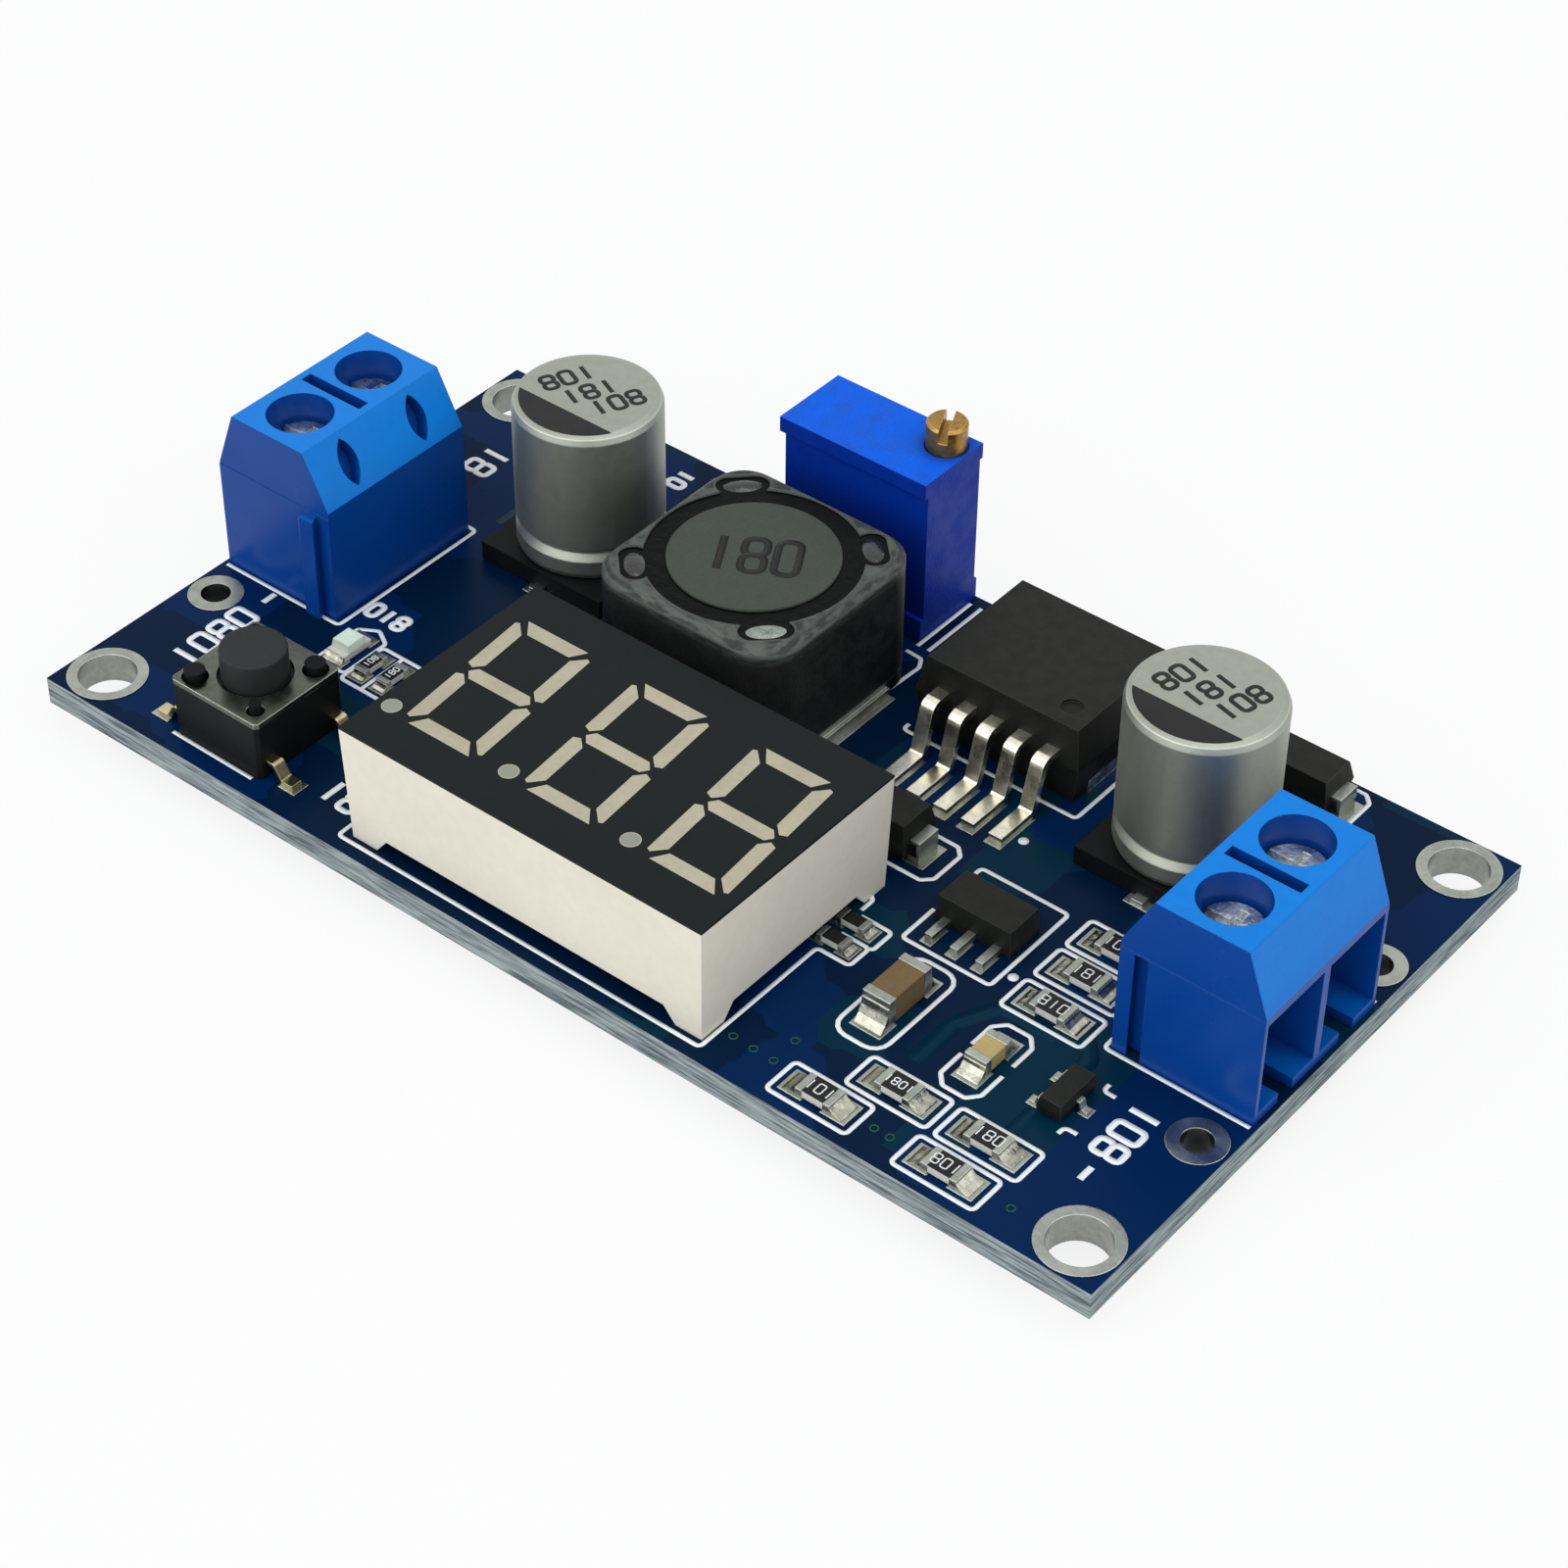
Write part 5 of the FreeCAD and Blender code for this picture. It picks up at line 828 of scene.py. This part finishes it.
# %% Tracks and small holes
TRACE_WIDTH = 0.95 * MM
TRACE_CORNER = 0.6 * MM
TRACE_THICKNESS = 0.004 * MM
TRACES = (
    ((51.3, 6.4), (51.3, 9.6), (52.4, 11.9), (55.6, 11.9)),
    ((55.9, 3.3), (57.6, 5.1), (57.6, 11.6), (55.8, 13.6)),
    ((15.6, 6.3), (17.4, 8.2), (17.4, 12.6), (15.8, 14.4)),
    ((9.2, 24.6), (9.2, 29.8), (7.6, 31.4), (5.4, 31.4)),
)
print_lines("traces", [path(*places) for places in TRACES], TRACE_WIDTH, FAINT_MASK,
            corner=TRACE_CORNER, thickness=TRACE_THICKNESS)


def ring_tree():
    """A small flat ring on every point of the seed."""
    tree, ways_in, way_out = new_tree("small_rings", {
        "Ring Radius": "Float", "Ring Width": "Float", "Finish": "Material"})
    circle = {"Radius": ways_in["Ring Radius"], "Resolution": 20}
    ring = step(tree, "GeometryNodeCurvePrimitiveCircle", circle).outputs[0]
    sides = {"Width": ways_in["Ring Width"], "Height": ways_in["Ring Width"]}
    profile = step(tree, "GeometryNodeCurvePrimitiveQuadrilateral", sides).outputs[0]
    swept = {"Curve": ring, "Profile Curve": profile, "Fill Caps": True}
    solid = step(tree, "GeometryNodeCurveToMesh", swept).outputs[0]
    points = step(tree, "GeometryNodeMeshToPoints", {"Mesh": ways_in["Geometry"]}).outputs[0]
    placed = {"Points": points, "Instance": solid}
    return finished(tree, step(tree, "GeometryNodeInstanceOnPoints", placed).outputs[0], ways_in, way_out)


VIAS = ((43.9, 2.35), (45.15, 2.3), (46.35, 2.3), (52.6, 1.85), (53.5, 1.85), (46.3, 3.95), (60.3, 1.85))
VIA_SIZES = {"Ring Radius": 0.2 * MM, "Ring Width": 0.08 * MM}
via_seed = bpy.data.meshes.new("vias")
via_seed.from_pydata([at(x, y) for x, y in VIAS], [], [])
grow("vias", via_seed, ring_tree(), {**VIA_SIZES, "Finish": VIA_MASK})

# %% [markdown]
# Glue fills the four pockets between the inductor's core and the corners of its shield. Each mound is a
# flattened ball. The tree sets one on every point of the seed, and turns it by its place in the row. The
# drop in the front corner is painted pale, as a painted highlight of its wet gloss.

# %% Glue in the pockets
POCKET_OUT = 6.03 * MM
MOUND_DEPTH = 0.42 * MM
MOUND_HALVES = (0.72 * MM, 1.35 * MM, 0.46 * MM)


def mound_tree():
    """A flattened ball on every point of the seed, a quarter turn between one and the next."""
    tree, ways_in, way_out = new_tree("glue_mounds", {
        "Halves": "Vector", "First Turn": "Float", "Finish": "Material"})
    ball = step(tree, "GeometryNodeMeshUVSphere", {"Segments": 32, "Rings": 16, "Radius": 1.0}).outputs[0]
    soft = step(tree, "GeometryNodeSetShadeSmooth", {"Geometry": ball}).outputs[0]
    points = step(tree, "GeometryNodeMeshToPoints", {"Mesh": ways_in["Geometry"]}).outputs[0]
    index = step(tree, "GeometryNodeInputIndex").outputs[0]
    turn = math_of(tree, "ADD", math_of(tree, "MULTIPLY", index, math.pi / 2), ways_in["First Turn"])
    about = step(tree, "ShaderNodeCombineXYZ", {"Z": turn}).outputs[0]
    placed = {"Points": points, "Instance": soft, "Rotation": about, "Scale": ways_in["Halves"]}
    return finished(tree, step(tree, "GeometryNodeInstanceOnPoints", placed).outputs[0], ways_in, way_out)


sunk = top_of(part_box("inductor_shield")) - Vector((0, 0, MOUND_DEPTH))
MOUNDS = mound_tree()
for name, corners, finish in (("glue_mounds", (45, 135, 225), wet_glue), ("glue_drop", (315,), painted_highlight_glue)):
    turns = [math.radians(corner) for corner in corners]
    seed = bpy.data.meshes.new(name)
    seed.from_pydata([sunk + Vector((math.cos(turn), math.sin(turn), 0)) * POCKET_OUT
                      for turn in turns], [], [])
    grow(name, seed, MOUNDS, {"Halves": MOUND_HALVES, "First Turn": turns[0], "Finish": finish})

# %% [markdown]
# Product photographs of electronics are lit softly from nearly all round, so that metal shows broad pale
# reflections and the dark plastic keeps its form. A pale world gives that, large lamps in front and on the
# right light the sides that the camera sees, and a weaker one above lifts the tops. None stands where the
# flat tops would mirror it to the camera, which would wash out their colours. The camera, glossy and
# transmission rays see the world as plain white, which is the photograph's background.

# %% The floor, the lamps and the world
LOWEST = cad_box[0][2]
FLOOR_SIZE = 3.0
FLOOR_COLOUR = (0.86, 0.86, 0.86, 1.0)
FLOOR_WHITENESS = 0.85
WORLD_COLOUR = (0.95, 0.97, 1.0, 1.0)
WORLD_STRENGTH = 0.45
WHITE = (1.0, 1.0, 1.0, 1.0)
LAMPS = (
    ("top_lamp", (0.12, 0.05, 0.7), 0.4, 0.9),
    ("front_lamp", (-0.1, -0.5, 0.4), 0.8, 2.9),
    ("right_lamp", (0.5, 0.05, 0.3), 0.6, 1.1),
)


def area_lamp(name, place, size, power):
    """Makes a soft square lamp that faces the board. Place and size are in metres, the power in watts."""
    data = bpy.data.lights.new(name, "AREA")
    data.size = size
    data.energy = power
    lamp = bpy.data.objects.new(name, data)
    bpy.context.collection.objects.link(lamp)
    lamp.location = place
    lamp.rotation_euler = (-Vector(place)).to_track_quat("-Z", "Y").to_euler()


def seen_directly(tree):
    """A socket that is 1 for rays from the camera, off gloss and through glass."""
    rays = step(tree, "ShaderNodeLightPath").outputs
    sharp = math_of(tree, "MAXIMUM", rays["Is Camera Ray"], rays["Is Glossy Ray"])
    return math_of(tree, "MAXIMUM", sharp, rays["Is Transmission Ray"])


for lamp in LAMPS:
    area_lamp(*lamp)
scene = bpy.context.scene
scene.view_settings.view_transform = "Standard"

world = bpy.data.worlds.new("pale")
scene.world = world
world.use_nodes = True
sky = world.node_tree
lighting = sky.nodes["Background"]
lighting.inputs["Color"].default_value = WORLD_COLOUR
lighting.inputs["Strength"].default_value = WORLD_STRENGTH
white = step(sky, "ShaderNodeBackground", {"Color": WHITE, "Strength": 1.0})
sky_mix = {0: seen_directly(sky), 1: lighting.outputs[0], 2: white.outputs[0]}
sky.links.new(step(sky, "ShaderNodeMixShader", sky_mix).outputs[0],
              sky.nodes["World Output"].inputs["Surface"])

bpy.ops.mesh.primitive_plane_add(size=FLOOR_SIZE, location=(0, 0, LOWEST))
floor = bpy.context.object
floor.name = "floor"
floor_material = bpy.data.materials.new("floor")
floor_material.use_nodes = True
ground = floor_material.node_tree
matt = step(ground, "ShaderNodeBsdfDiffuse", {"Color": FLOOR_COLOUR}).outputs[0]
glow = step(ground, "ShaderNodeEmission", {"Color": WHITE, "Strength": 1.0}).outputs[0]
share = math_of(ground, "MULTIPLY", seen_directly(ground), FLOOR_WHITENESS)
ground.links.new(step(ground, "ShaderNodeMixShader", {0: share, 1: matt, 2: glow}).outputs[0],
                 ground.nodes["Material Output"].inputs["Surface"])
floor.data.materials.append(floor_material)
print("floor at", round(LOWEST / MM, 2), "mm")
